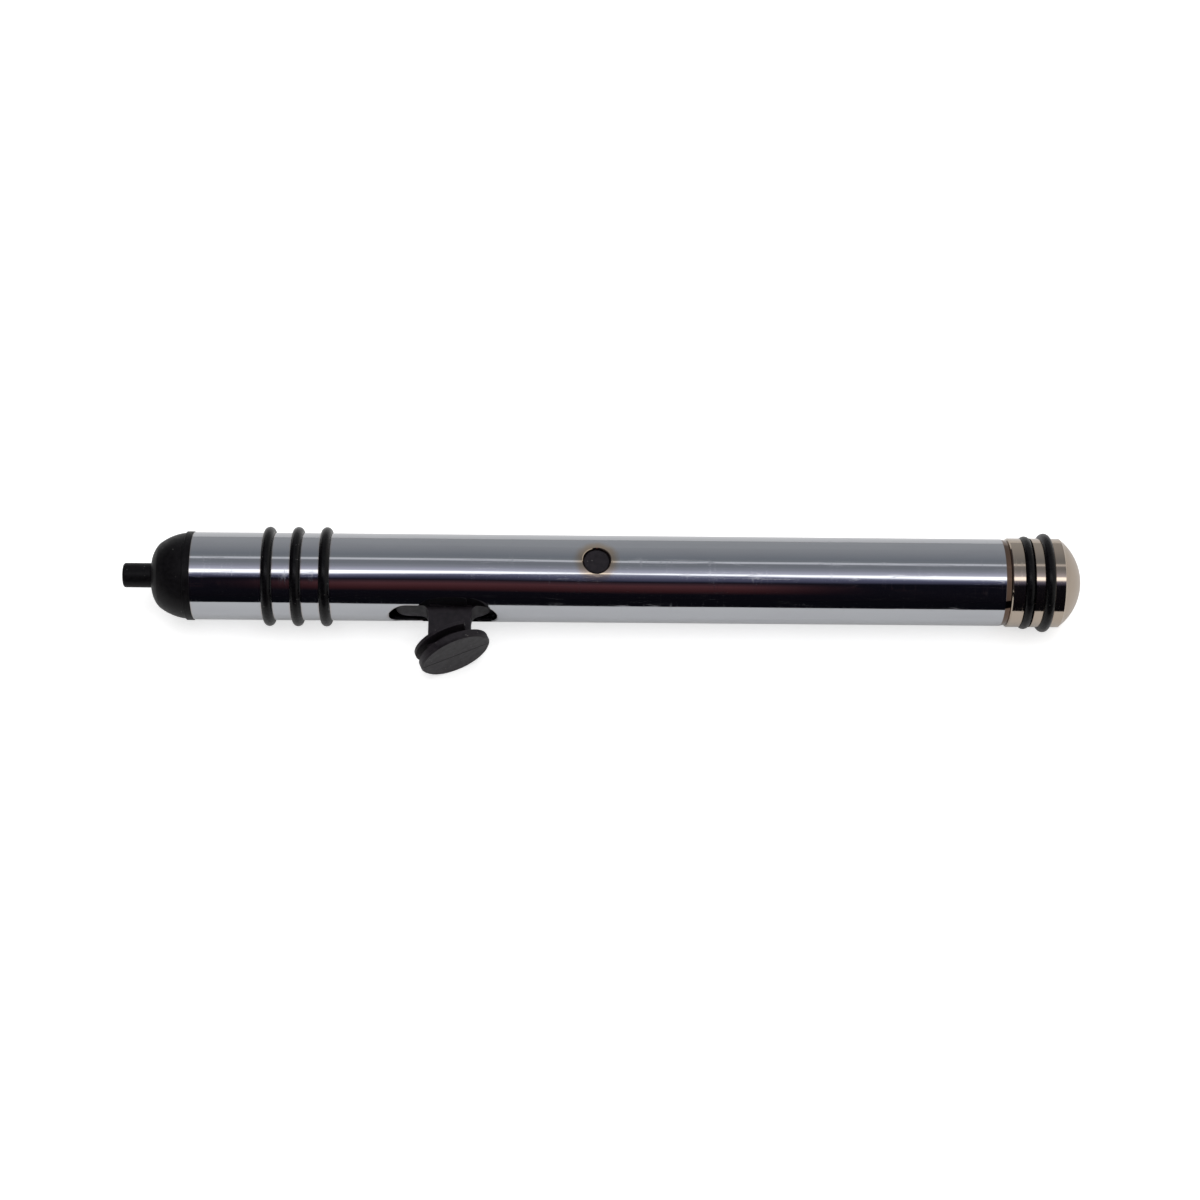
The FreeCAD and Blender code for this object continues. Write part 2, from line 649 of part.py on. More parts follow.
def cut_ring_seat(body, name, station, floor, surface, cord):
    """Turn one square groove that a ring of round cord sits in."""
    sketch = new_sketch(body, f"{name}_section", "XZ_Plane")
    half = f"({cord} / 2 + Sizes.ring_side_gap)"
    draw_outline(
        sketch,
        (f"{station} - {half}", floor),
        line_to(f"{station} + {half}", floor),
        line_to(f"{station} + {half}", f"{surface} + {cord}"),
        line_to(f"{station} - {half}", f"{surface} + {cord}"),
    )
    turn(body, name, sketch, cut=True)


def make_ring(label, station, middle, cord):
    """Rubber ring round the pen's axis at one station."""
    ring = DOCUMENT.addObject("Part::Torus", label)
    ring.Placement = FreeCAD.Placement(FreeCAD.Vector(), FreeCAD.Rotation(FreeCAD.Vector(0, 1, 0), 90))
    ring.setExpression("Placement.Base.x", station)
    ring.setExpression("Radius1", middle)
    ring.setExpression("Radius2", f"{cord} / 2")
    PIECES.append(ring)


def make_rings():
    """Grip rings near the nose, rings round the cap, and the friction ring on its spigot."""
    for count in range(GRIP_RINGS):
        station = f"{GRIP_RING_FIRST} + {count} * Sizes.grip_ring_pitch"
        make_ring(f"grip_ring_{count + 1}", station, RING_MIDDLE, "Sizes.ring_cord")
    for count, station in enumerate((CAP_RING_FIRST, CAP_RING_SECOND)):
        middle = f"{CAP_RING_FLOORS[count]} + Sizes.ring_cord / 2"
        make_ring(f"cap_ring_{count + 1}", station, middle, "Sizes.ring_cord")
    middle = f"{FRICTION_REACH} - Sizes.friction_cord / 2"
    make_ring("cap_friction_ring", FRICTION_STATION, middle, "Sizes.friction_cord")


def check_document():
    """Stop if any object failed to build or any piece is not one sound solid."""
    for item in DOCUMENT.Objects:
        if "Invalid" in item.State or "Error" in item.State:
            raise RuntimeError(f"{item.Label} did not build: {item.State}")
    for piece in PIECES:
        if piece.Shape.isNull() or not piece.Shape.isValid() or len(piece.Shape.Solids) != 1:
            raise RuntimeError(f"{piece.Label} is not one sound solid")


def main():
    """Build every piece and write each one to its own file."""
    fill_sheet()
    make_barrel_tube()
    make_nose_cone()
    make_bulb_connector()
    make_suction_bulb()
    make_lever()
    make_pivot_pin()
    make_handle_plug()
    make_end_cap()
    make_rings()
    DOCUMENT.recompute()
    check_document()
    os.makedirs("parts", exist_ok=True)
    for piece in PIECES:
        piece.Shape.exportStep(f"parts/{piece.Label}.step")
        print(f"{piece.Label}: {piece.Shape.Volume:.2f} cubic millimetres")


main()
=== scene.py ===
"""Dress the vacuum pick-up pen and light it in a plain white studio.

The pen lies along X, nozzle at the origin and cap at the far end, with the
finger button towards -Y. Sizes in the classes are millimetres, as on a
drawing, and MM turns them into the metres that Blender works in.
"""
from __future__ import annotations

import logging
import math
from dataclasses import dataclass
from enum import Enum
from typing import Callable, Mapping, Sequence

import bmesh
import bpy
from mathutils import Matrix, Vector


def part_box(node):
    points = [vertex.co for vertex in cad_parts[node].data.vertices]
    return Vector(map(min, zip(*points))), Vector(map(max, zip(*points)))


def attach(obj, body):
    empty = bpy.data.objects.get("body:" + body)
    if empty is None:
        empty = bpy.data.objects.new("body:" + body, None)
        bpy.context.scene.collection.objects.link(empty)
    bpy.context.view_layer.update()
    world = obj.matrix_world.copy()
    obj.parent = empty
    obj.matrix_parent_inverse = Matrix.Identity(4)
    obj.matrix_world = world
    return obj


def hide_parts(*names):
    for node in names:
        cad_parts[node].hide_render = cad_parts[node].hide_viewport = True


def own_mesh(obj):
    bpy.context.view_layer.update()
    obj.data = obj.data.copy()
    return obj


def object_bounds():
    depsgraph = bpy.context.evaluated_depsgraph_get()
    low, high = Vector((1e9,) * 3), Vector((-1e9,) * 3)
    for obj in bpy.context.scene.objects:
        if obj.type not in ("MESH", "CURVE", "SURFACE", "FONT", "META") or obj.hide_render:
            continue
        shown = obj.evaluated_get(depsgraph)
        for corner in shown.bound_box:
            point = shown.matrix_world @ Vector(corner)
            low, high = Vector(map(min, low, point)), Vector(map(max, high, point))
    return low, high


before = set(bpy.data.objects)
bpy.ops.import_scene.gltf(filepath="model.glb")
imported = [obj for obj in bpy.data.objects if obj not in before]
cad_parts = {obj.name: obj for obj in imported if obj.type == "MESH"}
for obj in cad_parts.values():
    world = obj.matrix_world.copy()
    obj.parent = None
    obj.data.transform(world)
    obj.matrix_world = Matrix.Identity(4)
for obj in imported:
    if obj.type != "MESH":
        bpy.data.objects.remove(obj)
CAD_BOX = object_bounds()

LOG = logging.getLogger("vacuum_pen")
MM = 0.001
SLOT_SIDE = Vector((0.0, -0.986218, -0.165453))
PIN_SIDE = Vector((0.0, -0.165453, 0.986218))
PEN_AXIS = Vector((1.0, 0.0, 0.0))
HALF_TURN = 180.0

# The turn that lays a primitive's own axis along the pen.
ALONG_PEN = (0.0, math.radians(90.0), 0.0)
# Points this close to a plane, in metres, count as lying on it.
SLACK = 0.01 * MM
# Points closer than this, in metres, are merged.
WELD = 0.002 * MM
# How far a unit vector reaches along a direction that it faces, looks squarely
# along, or lies across.
FACING = 0.9
SQUARE_ON = 0.99
ACROSS = 0.5

Colour = tuple[float, float, float]
Stop = tuple[float, Colour]


class Body(Enum):
    """The rigid bodies that pieces ride on."""

    BARREL = "barrel"
    LEVER = "lever"
    CAP = "cap"


class Finish(Enum):
    """The finishes of the pen, as the record names its material slots."""

    CHROME = "chrome_plate"
    NICKEL = "nickel_plate"
    BRASS = "turned_brass"
    BULB = "bulb_rubber"
    RING = "ring_rubber"
    NOSE = "black_nose"
    MOULDING = "black_moulding"


class NodeSketch:
    """Adds nodes to one shader tree and joins them."""

    def __init__(self, tree: bpy.types.NodeTree) -> None:
        """Work on one tree."""
        self.tree = tree

    @classmethod
    def on(cls, owner: bpy.types.Material | bpy.types.World) -> NodeSketch:
        """Start on the emptied tree of a material or a world.

        Args:
            owner: What the tree belongs to.

        Returns:
            The sketch.
        """
        owner.use_nodes = True
        owner.node_tree.nodes.clear()
        return cls(owner.node_tree)

    def add(self, kind: str, **settings: object) -> bpy.types.Node:
        """Add a node and set its properties.

        Args:
            kind: Blender's name of the node type.
            settings: Properties of the node, by name.

        Returns:
            The new node.
        """
        node = self.tree.nodes.new(kind)
        for name, value in settings.items():
            setattr(node, name, value)
        return node

    def feed(self, node: bpy.types.Node, **values: object) -> bpy.types.Node:
        """Give a node's inputs a number, a colour or another node's output.

        Args:
            node: The node to feed.
            values: Inputs by name, with underscores for spaces.

        Returns:
            The same node.
        """
        for name, value in values.items():
            self.give(node.inputs[name.replace("_", " ")], value)
        return node

    def plug(self, node: bpy.types.Node, values: Mapping[int, object]) -> bpy.types.Node:
        """Feed inputs by their place in the node, where their names repeat.

        Args:
            node: The node to feed.
            values: Inputs by number.

        Returns:
            The same node.
        """
        for number, value in values.items():
            self.give(node.inputs[number], value)
        return node

    def give(self, socket: bpy.types.NodeSocket, value: object) -> None:
        """Link an output to an input, or set the input's own value.

        Args:
            socket: The input.
            value: An output socket, a number or a sequence.
        """
        if isinstance(value, bpy.types.NodeSocket):
            self.tree.links.new(value, socket)
        elif isinstance(value, (int, float)):
            socket.default_value = value
        else:
            numbers = tuple(value)
            room = len(socket.default_value)
            socket.default_value = numbers + (1.0,) * (room - len(numbers))

    def math(self, operation: str, *values: object, clamp: bool = False) -> bpy.types.NodeSocket:
        """Add one step of arithmetic on one to three values."""
        node = self.add("ShaderNodeMath", operation=operation, use_clamp=clamp)
        return self.plug(node, dict(enumerate(values))).outputs["Value"]

    def times(self, first: object, second: object) -> bpy.types.NodeSocket:
        """Multiply two values."""
        return self.math("MULTIPLY", first, second)

    def scale(self, value: object, factor: float, base: object) -> bpy.types.NodeSocket:
        """Multiply a value by a factor and add a base."""
        return self.math("MULTIPLY_ADD", value, factor, base)

    def dot(self, vector: object, direction: object) -> bpy.types.NodeSocket:
        """Measure how far a vector reaches along a direction."""
        node = self.add("ShaderNodeVectorMath", operation="DOT_PRODUCT")
        return self.plug(node, {0: vector, 1: direction}).outputs["Value"]

    def step(self, value: object, low: float, high: float) -> bpy.types.NodeSocket:
        """Turn a value into a smooth mask.

        Args:
            value: The value's socket.
            low: Where the mask is 0.
            high: Where the mask is 1; it may be below low.

        Returns:
            The mask's socket.
        """
        node = self.add("ShaderNodeMapRange", interpolation_type="SMOOTHSTEP")
        rising = low < high
        self.feed(node, Value=value, From_Min=min(low, high), From_Max=max(low, high))
        self.feed(node, To_Min=float(not rising), To_Max=float(rising))
        return node.outputs["Result"]

    def mix(
        self,
        mask: object,
        first: object,
        second: object,
        strength: float = 1.0,
        blend: str = "MIX",
    ) -> bpy.types.NodeSocket:
        """Mix two colours.

        Args:
            mask: How much of the second colour shows, from 0 to 1.
            first: Colour or socket.
            second: Colour or socket.
            strength: What the mask is multiplied by.
            blend: Blender's name of the way in which they mix.

        Returns:
            The mixed colour's socket.
        """
        share = mask if strength == 1.0 else self.times(mask, strength)
        node = self.add("ShaderNodeMix", data_type="RGBA", blend_type=blend, clamp_factor=True)
        return self.plug(node, {0: share, 6: first, 7: second}).outputs[2]

    def ramp(self, factor: object, stops: Sequence[Stop]) -> bpy.types.NodeSocket:
        """Add a colour ramp.

        Args:
            factor: The socket that runs along it.
            stops: Places from 0 to 1 and their colours.

        Returns:
            The colour's socket.
        """
        node = self.add("ShaderNodeValToRGB")
        self.give(node.inputs["Fac"], factor)
        band = node.color_ramp
        for number, (place, colour) in enumerate(stops):
            element = band.elements[number] if number < 2 else band.elements.new(place)
            element.position = place
            element.color = (*colour, 1.0)
        return node.outputs["Color"]

    def noise(
        self,
        vector: object,
        scale: object,
        detail: float,
        pull: Sequence[float] | None = None,
        shift: Sequence[float] = (0.0, 0.0, 0.0),
    ) -> bpy.types.NodeSocket:
        """Add a noise texture.

        Args:
            vector: Where it is read.
            scale: Its scale, per metre.
            detail: How many octaves it has.
            pull: What each axis is multiplied by; below 1 draws the noise out.
            shift: How far it is moved, where it is pulled.

        Returns:
            The noise's value socket.
        """
        if pull is not None:
            drawn = self.add("ShaderNodeMapping", vector_type="POINT")
            vector = self.feed(drawn, Vector=vector, Scale=pull, Location=shift).outputs["Vector"]
        node = self.add("ShaderNodeTexNoise", noise_dimensions="3D")
        return self.feed(node, Vector=vector, Scale=scale, Detail=detail).outputs["Fac"]


def new_effect(
    name: str, inputs: Mapping[str, float], outputs: Sequence[str]
) -> tuple[NodeSketch, bpy.types.NodeOutputs, bpy.types.Node]:
    """Start a node group that reads a place on the piece and some numbers.

    Args:
        name: The group's name.
        inputs: Its number inputs and the value that each starts with.
        outputs: Its number outputs.

    Returns:
        A sketch of its tree, what it is given, and its output node.
    """
    tree = bpy.data.node_groups.new(name, "ShaderNodeTree")
    sockets = tree.interface
    sockets.new_socket("Vector", in_out="INPUT", socket_type="NodeSocketVector")
    for wanted, value in inputs.items():
        socket = sockets.new_socket(wanted, in_out="INPUT", socket_type="NodeSocketFloat")
        socket.default_value = value
    for wanted in outputs:
        sockets.new_socket(wanted, in_out="OUTPUT", socket_type="NodeSocketFloat")
    sketch = NodeSketch(tree)
    return sketch, sketch.add("NodeGroupInput").outputs, sketch.add("NodeGroupOutput")


class SurfaceEffects:
    """The effects that several finishes share, each one a node group.

    Scales are per metre. The limits of each mask are in its pattern's own units.
    """

    def __init__(self) -> None:
        """Build every group once."""
        self.grain = self._mould_grain()
        self.scratches = self._hairline_scratches()
        self.ripple = self._plating_ripple()
        self.edge = self._worn_edge()
        self.dust = self._settled_dust()
        self.seam = self._mould_seam()

    @staticmethod
    def _mould_grain() -> bpy.types.NodeTree:
        """Draw the fine pitted grain of moulded plastic and rubber.

        Returns:
            The group, which gives the grain's height and its slow change of tone.
        """
        sketch, given, result = new_effect("mould_grain", {"Scale": 4000.0}, ("Height", "Tone"))
        coarseness, coarse_depth = 0.22, 0.7
        fine = sketch.add("ShaderNodeTexVoronoi", feature="SMOOTH_F1")
        sketch.feed(fine, Vector=given["Vector"], Scale=given["Scale"], Smoothness=0.6)
        coarse_scale = sketch.times(given["Scale"], coarseness)
        coarse = sketch.noise(given["Vector"], scale=coarse_scale, detail=4.0)
        pits = sketch.scale(coarse, coarse_depth, fine.outputs["Distance"])
        sketch.feed(result, Height=pits, Tone=sketch.step(coarse, low=0.3, high=0.7))
        return sketch.tree

    @staticmethod
    def _hairline_scratches() -> bpy.types.NodeTree:
        """Draw thin scratches that run mostly along the pen, with a few across it.

        Returns:
            The group, which gives the scratches' mask.
        """
        sketch, given, result = new_effect("hairline_scratches", {"Coverage": 0.5}, ("Mask",))
        place = given["Vector"]
        bare_share, contrast = 0.75, 6.0
        ways = (((0.04, 1.0, 1.0), (0.0, 0.0, 0.0)), ((1.0, 0.05, 0.05), (0.3, 0.1, 0.7)))
        lines = []
        for pull, shift in ways:
            wander = sketch.noise(place, scale=900.0, detail=2.0, pull=pull, shift=shift)
            off = sketch.math("ABSOLUTE", sketch.math("SUBTRACT", wander, 0.5))
            lines.append(sketch.step(off, low=0.012, high=0.002))
        patches = sketch.noise(
            place, scale=260.0, detail=3.0, pull=(0.5, 1.0, 1.0), shift=(0.2, 0.0, 0.4)
        )
        bare = sketch.times(sketch.math("SUBTRACT", 1.0, given["Coverage"]), bare_share)
        covered = sketch.math("SUBTRACT", patches, bare)
        shown = sketch.math("MULTIPLY", covered, contrast, clamp=True)
        sketch.feed(result, Mask=sketch.times(sketch.math("MAXIMUM", *lines), shown))
        return sketch.tree

    @staticmethod
    def _plating_ripple() -> bpy.types.NodeTree:
        """Draw the slight waves that a drawn and polished tube shows in its reflections.

        Returns:
            The group, which gives the waves' height and a cloudy haze.
        """
        sketch, given, result = new_effect("plating_ripple", {"Depth": 1.0}, ("Height", "Haze"))
        place = given["Vector"]
        patch_depth, even_depth = 0.3, 0.12
        long_waves = sketch.noise(place, scale=260.0, detail=2.0, pull=(0.12, 1.0, 1.0))
        short_waves = sketch.noise(
            place, scale=900.0, detail=2.0, pull=(0.45, 1.0, 1.0), shift=(0.5, 0.2, 0.1)
        )
        patches = sketch.noise(
            place, scale=120.0, detail=2.0, pull=(0.7, 1.0, 1.0), shift=(0.4, 0.9, 0.2)
        )
        share = sketch.scale(sketch.step(patches, low=0.5, high=0.7), patch_depth, even_depth)
        both = sketch.math("ADD", long_waves, sketch.times(short_waves, share))
        cloud = sketch.noise(
            place, scale=420.0, detail=5.0, pull=(0.3, 1.0, 1.0), shift=(0.1, 0.6, 0.3)
        )
        haze = sketch.step(cloud, low=0.42, high=0.72)
        sketch.feed(result, Height=sketch.times(both, given["Depth"]), Haze=haze)
        return sketch.tree

    @staticmethod
    def _worn_edge() -> bpy.types.NodeTree:
        """Mask a piece's edges, wider where the given radius is larger.

        Returns:
            The group, which gives the edges' mask.
        """
        sketch, given, result = new_effect(
            "worn_edge", {"Radius": 0.0002, "Breakup": 0.5}, ("Mask",)
        )
        rounded = sketch.add("ShaderNodeBevel", samples=6)
        sketch.feed(rounded, Radius=given["Radius"])
        plain = sketch.add("ShaderNodeNewGeometry")
        likeness = sketch.dot(rounded.outputs["Normal"], plain.outputs["Normal"])
        near = sketch.step(sketch.math("SUBTRACT", 1.0, likeness), low=0.02, high=0.16)
        rough = sketch.noise(given["Vector"], scale=1500.0, detail=4.0)
        kept = sketch.times(sketch.step(rough, low=0.35, high=0.65), given["Breakup"])
        sketch.feed(result, Mask=sketch.times(near, sketch.math("SUBTRACT", 1.0, kept)))
        return sketch.tree

    @staticmethod
    def _settled_dust() -> bpy.types.NodeTree:
        """Scatter sparse pale specks of dust.

        Returns:
            The group, which gives the specks' mask.
        """
        sketch, given, result = new_effect("settled_dust", {"Amount": 0.3}, ("Mask",))
        specks = sketch.add("ShaderNodeTexVoronoi", feature="F1")
        sketch.feed(specks, Vector=given["Vector"], Scale=1700.0, Randomness=1.0)
        dots = sketch.step(specks.outputs["Distance"], low=0.17, high=0.06)
        thinning = sketch.noise(given["Vector"], scale=1300.0, detail=1.0)
        few = sketch.times(dots, sketch.step(thinning, low=0.56, high=0.62))
        sketch.feed(result, Mask=sketch.times(few, given["Amount"]))
        return sketch.tree

    @staticmethod
    def _mould_seam() -> bpy.types.NodeTree:
        """Raise the fine line where a mould's halves met, at a signed distance of 0.

        Returns:
            The group, which gives the line's height.
        """
        sketch, given, result = new_effect(
            "mould_seam", {"Distance": 0.0, "Width": 0.00012}, ("Height",)
        )
        sway = 0.06 * MM
        wander = sketch.noise(given["Vector"], scale=700.0, detail=2.0)
        swayed = sketch.times(sketch.math("SUBTRACT", wander, 0.5), sway)
        off = sketch.math("ABSOLUTE", sketch.math("ADD", given["Distance"], swayed))
        share = sketch.math("DIVIDE", off, given["Width"])
        sketch.feed(result, Height=sketch.step(share, low=1.0, high=0.15))
        return sketch.tree


class FinishMaterial:
    """Shared start of every finish: a Principled shader and Object coordinates."""

    def __init__(self, name: str, effects: SurfaceEffects) -> None:
        """Make an empty material.

        Args:
            name: The material's name.
            effects: The shared effect groups.
        """
        self.material = bpy.data.materials.new(name)
        self.sketch = NodeSketch.on(self.material)
        self.effects = effects
        self.shader = self.sketch.add("ShaderNodeBsdfPrincipled")
        output = self.sketch.add("ShaderNodeOutputMaterial")
        self.sketch.feed(output, Surface=self.shader.outputs["BSDF"])
        self.place = self.sketch.add("ShaderNodeTexCoord").outputs["Object"]

    def effect(self, group: bpy.types.NodeTree, **values: object) -> bpy.types.NodeOutputs:
        """Place a shared effect with its inputs by name, and return its outputs."""
        node = self.sketch.add("ShaderNodeGroup", node_tree=group)
        return self.sketch.feed(node, Vector=self.place, **values).outputs

    def beyond(self, direction: Vector, start_mm: float, end_mm: float) -> bpy.types.NodeSocket:
        """Mask what lies beyond a place along a direction, blending between two lengths."""
        reach = self.sketch.dot(self.place, direction)
        return self.sketch.step(reach, start_mm * MM, end_mm * MM)

    def bump(
        self, height: object, depth_mm: float, strength: float = 1.0, under: object = None
    ) -> bpy.types.NodeSocket:
        """Raise the surface's shading by a height.

        Args:
            height: The height's socket, from 0 to 1.
            depth_mm: The full height.
            strength: How much of it shows.
            under: The normal of the bump below this one.

        Returns:
            The new normal's socket.
        """
        node = self.sketch.add("ShaderNodeBump")
        self.sketch.feed(node, Height=height, Distance=depth_mm * MM, Strength=strength)
        if under is not None:
            self.sketch.feed(node, Normal=under)
        return node.outputs["Normal"]

    def done(self, **values: object) -> bpy.types.Material:
        """Set the shader's own sockets by name and hand the material over."""
        self.sketch.feed(self.shader, **values)
        return self.material


@dataclass(frozen=True)
class PlatedFinish:
    """Polished plating on a turned or drawn metal piece."""

    name: str
    colour: Colour
    edge_tint: Colour
    haze_tint: Colour
    polish: float
    scratch_cover: float
    ripple_mm: float
    haze_share: float = 0.5
    haze_roughness: float = 0.035
    scratch_roughness: float = 0.16
    scratch_mm: float = 0.002
    scratch_strength: float = 0.35
    halo_mm: float = 0.5
    halo_breakup: float = 0.6
    halo_share: float = 0.75
    satin_from_mm: float | None = None
    satin_blend_mm: tuple[float, float] = (-0.15, 0.25)
    satin_roughness: float = 0.34
    hole_station_mm: float | None = None
    hole_halo_mm: float = 4.0
    hole_core_mm: float = 2.6
    hole_ragged_mm: float = 0.6
    hole_share: float = 0.8
    hole_tint: Colour = (0.4, 0.31, 0.215)
    # Past this station the tube's end beside the cap is painted dark brown: painted shade of the
    # joint between tube and cap.
    joint_shade_from_mm: float | None = None
    joint_shade_blend_mm: float = 0.06
    joint_shade_tint: Colour = (0.12, 0.08, 0.06)

    def build(self, effects: SurfaceEffects) -> bpy.types.Material:
        """Make the material.

        Args:
            effects: The shared effect groups.

        Returns:
            The finished material.
        """
        made = FinishMaterial(self.name, effects)
        sketch = made.sketch
        ripple = made.effect(effects.ripple)
        scratch = made.effect(effects.scratches, Coverage=self.scratch_cover)["Mask"]
        edge = made.effect(
            effects.edge, Radius=self.halo_mm * MM, Breakup=self.halo_breakup
        )["Mask"]
        tinted = sketch.mix(ripple["Haze"], self.colour, self.haze_tint, self.haze_share)
        tinted = sketch.mix(edge, tinted, self.edge_tint, self.halo_share)
        if self.hole_station_mm is not None:
            tinted = sketch.mix(self._round_hole(made), tinted, self.hole_tint, self.hole_share)
        # Painted shade: the tube's end in the joint with the cap is darkened to a dark brown.
        if self.joint_shade_from_mm is not None:
            blend = self.joint_shade_blend_mm
            joint_shade = made.beyond(PEN_AXIS, self.joint_shade_from_mm - blend, self.joint_shade_from_mm + blend)
            tinted = sketch.mix(joint_shade, tinted, self.joint_shade_tint)
        cloudy = sketch.scale(ripple["Haze"], self.haze_roughness, self.polish)
        worn = sketch.scale(scratch, self.scratch_roughness, cloudy)
        if self.satin_from_mm is not None:
            limits = (self.satin_from_mm + length for length in self.satin_blend_mm)
            satin = made.beyond(PEN_AXIS, *limits)
            shine = sketch.add("ShaderNodeMix", data_type="FLOAT")
            worn = sketch.plug(shine, {0: satin, 2: worn, 3: self.satin_roughness}).outputs[0]
        waves = made.bump(ripple["Height"], self.ripple_mm)
        scored = made.bump(scratch, self.scratch_mm, self.scratch_strength, under=waves)
        return made.done(Base_Color=tinted, Metallic=1.0, Roughness=worn, Normal=scored)

    def _round_hole(self, made: FinishMaterial) -> bpy.types.NodeSocket:
        """Mask the stained plating round the pin's two holes.

        Args:
            made: The material being made.

        Returns:
            The mask's socket.
        """
        sketch = made.sketch
        along = sketch.dot(made.place, PEN_AXIS)
        offsets = (
            sketch.math("SUBTRACT", along, self.hole_station_mm * MM),
            sketch.dot(made.place, SLOT_SIDE),
        )
        squares = (sketch.math("POWER", offset, 2.0) for offset in offsets)
        far = sketch.math("SQRT", sketch.math("ADD", *squares))
        rough = sketch.noise(made.place, scale=900.0, detail=3.0)
        ragged = sketch.scale(rough, self.hole_ragged_mm * MM, far)
        return sketch.step(ragged, self.hole_halo_mm * MM, self.hole_core_mm * MM)


@dataclass(frozen=True)
class GrainedFinish:
    """Black rubber or plastic with a moulded grain, and a parting line where it has one."""

    name: str
    colour: Colour
    bloom: Colour
    roughness: float
    gloss: float
    grain_per_mm: float
    grain_mm: float
    dust: float
    grain_strength: float = 0.8
    bloom_share: float = 0.45
    tone_roughness: float = 0.1
    edge_mm: float = 0.14
    edge_breakup: float = 0.8
    edge_wear: float = 0.5
    dust_tint: Colour = (0.32, 0.31, 0.3)
    seam_from_mm: float | None = None
    seam_blend_mm: float = 0.4
    seam_width_mm: float = 0.13
    seam_height_mm: float = 0.03
    seam_share: float = 0.6
    seam_shade: Colour = (0.004, 0.0035, 0.004)

    def build(self, effects: SurfaceEffects) -> bpy.types.Material:
        """Make the material.

        Args:
            effects: The shared effect groups.

        Returns:
            The finished material.
        """
        made = FinishMaterial(self.name, effects)
        sketch = made.sketch
        grain = made.effect(effects.grain, Scale=self.grain_per_mm / MM)
        edge = made.effect(effects.edge, Radius=self.edge_mm * MM, Breakup=self.edge_breakup)
        dust = made.effect(effects.dust, Amount=self.dust)
        shade = sketch.mix(grain["Tone"], self.colour, self.bloom, self.bloom_share)
        shade = sketch.mix(edge["Mask"], shade, self.bloom, self.edge_wear)
        line = None
        if self.seam_from_mm is not None:
            raised = self._seam(made)
            shade = sketch.mix(raised, shade, self.seam_shade, self.seam_share)
            line = made.bump(raised, self.seam_height_mm)
        shade = sketch.mix(dust["Mask"], shade, self.dust_tint)
        matte = sketch.scale(grain["Tone"], self.tone_roughness, self.roughness)
        pitted = made.bump(grain["Height"], self.grain_mm, self.grain_strength, under=line)
        return made.done(
            Base_Color=shade, Metallic=0.0, Roughness=matte, Normal=pitted,
            Specular_IOR_Level=self.gloss,
        )

    def _seam(self, made: FinishMaterial) -> bpy.types.NodeSocket:
        """Draw the parting line over the stem and the button.

        Args:
            made: The material being made.

        Returns:
            The line's height.
        """
        across = made.sketch.dot(made.place, PIN_SIDE)
        seam = made.effect(made.effects.seam, Distance=across, Width=self.seam_width_mm * MM)
        end = self.seam_from_mm + self.seam_blend_mm
        outside = made.beyond(SLOT_SIDE, self.seam_from_mm, end)
        return made.sketch.times(seam["Height"], outside)


@dataclass(frozen=True)
class TurnedFinish:
    """Brass with the fine rings that a lathe leaves."""

    name: str = "lathe_turned_brass"
    colour: Colour = (0.78, 0.62, 0.32)
    tarnish: Colour = (0.5, 0.36, 0.17)
    tarnish_share: float = 0.7
    tarnish_roughness: float = 0.16
    polish: float = 0.24
    edge_mm: float = 0.15
    edge_breakup: float = 0.4
    feed_per_mm: float = 9.0
    feed_depth_mm: float = 0.006
    feed_strength: float = 0.6

    def build(self, effects: SurfaceEffects) -> bpy.types.Material:
        """Make the material.

        Args:
            effects: The shared effect groups.

        Returns:
            The finished material.
        """
        made = FinishMaterial(self.name, effects)
        sketch = made.sketch
        rings = sketch.add("ShaderNodeTexWave", wave_type="BANDS", bands_direction="X")
        # Blender's wave runs through 20 radians where its scale is 1.
        bands = self.feed_per_mm / MM / 20.0
        sketch.feed(rings, Vector=made.place, Scale=bands, Distortion=0.4, Detail=2.0)
        haze = made.effect(effects.ripple)["Haze"]
        edge = made.effect(effects.edge, Radius=self.edge_mm * MM, Breakup=self.edge_breakup)
        aged = sketch.mix(haze, self.colour, self.tarnish, self.tarnish_share)
        bright = sketch.mix(edge["Mask"], aged, self.colour)
        dull = sketch.scale(haze, self.tarnish_roughness, self.polish)
        cut = made.bump(rings.outputs["Fac"], self.feed_depth_mm, self.feed_strength)
        return made.done(Base_Color=bright, Metallic=1.0, Roughness=dull, Normal=cut)


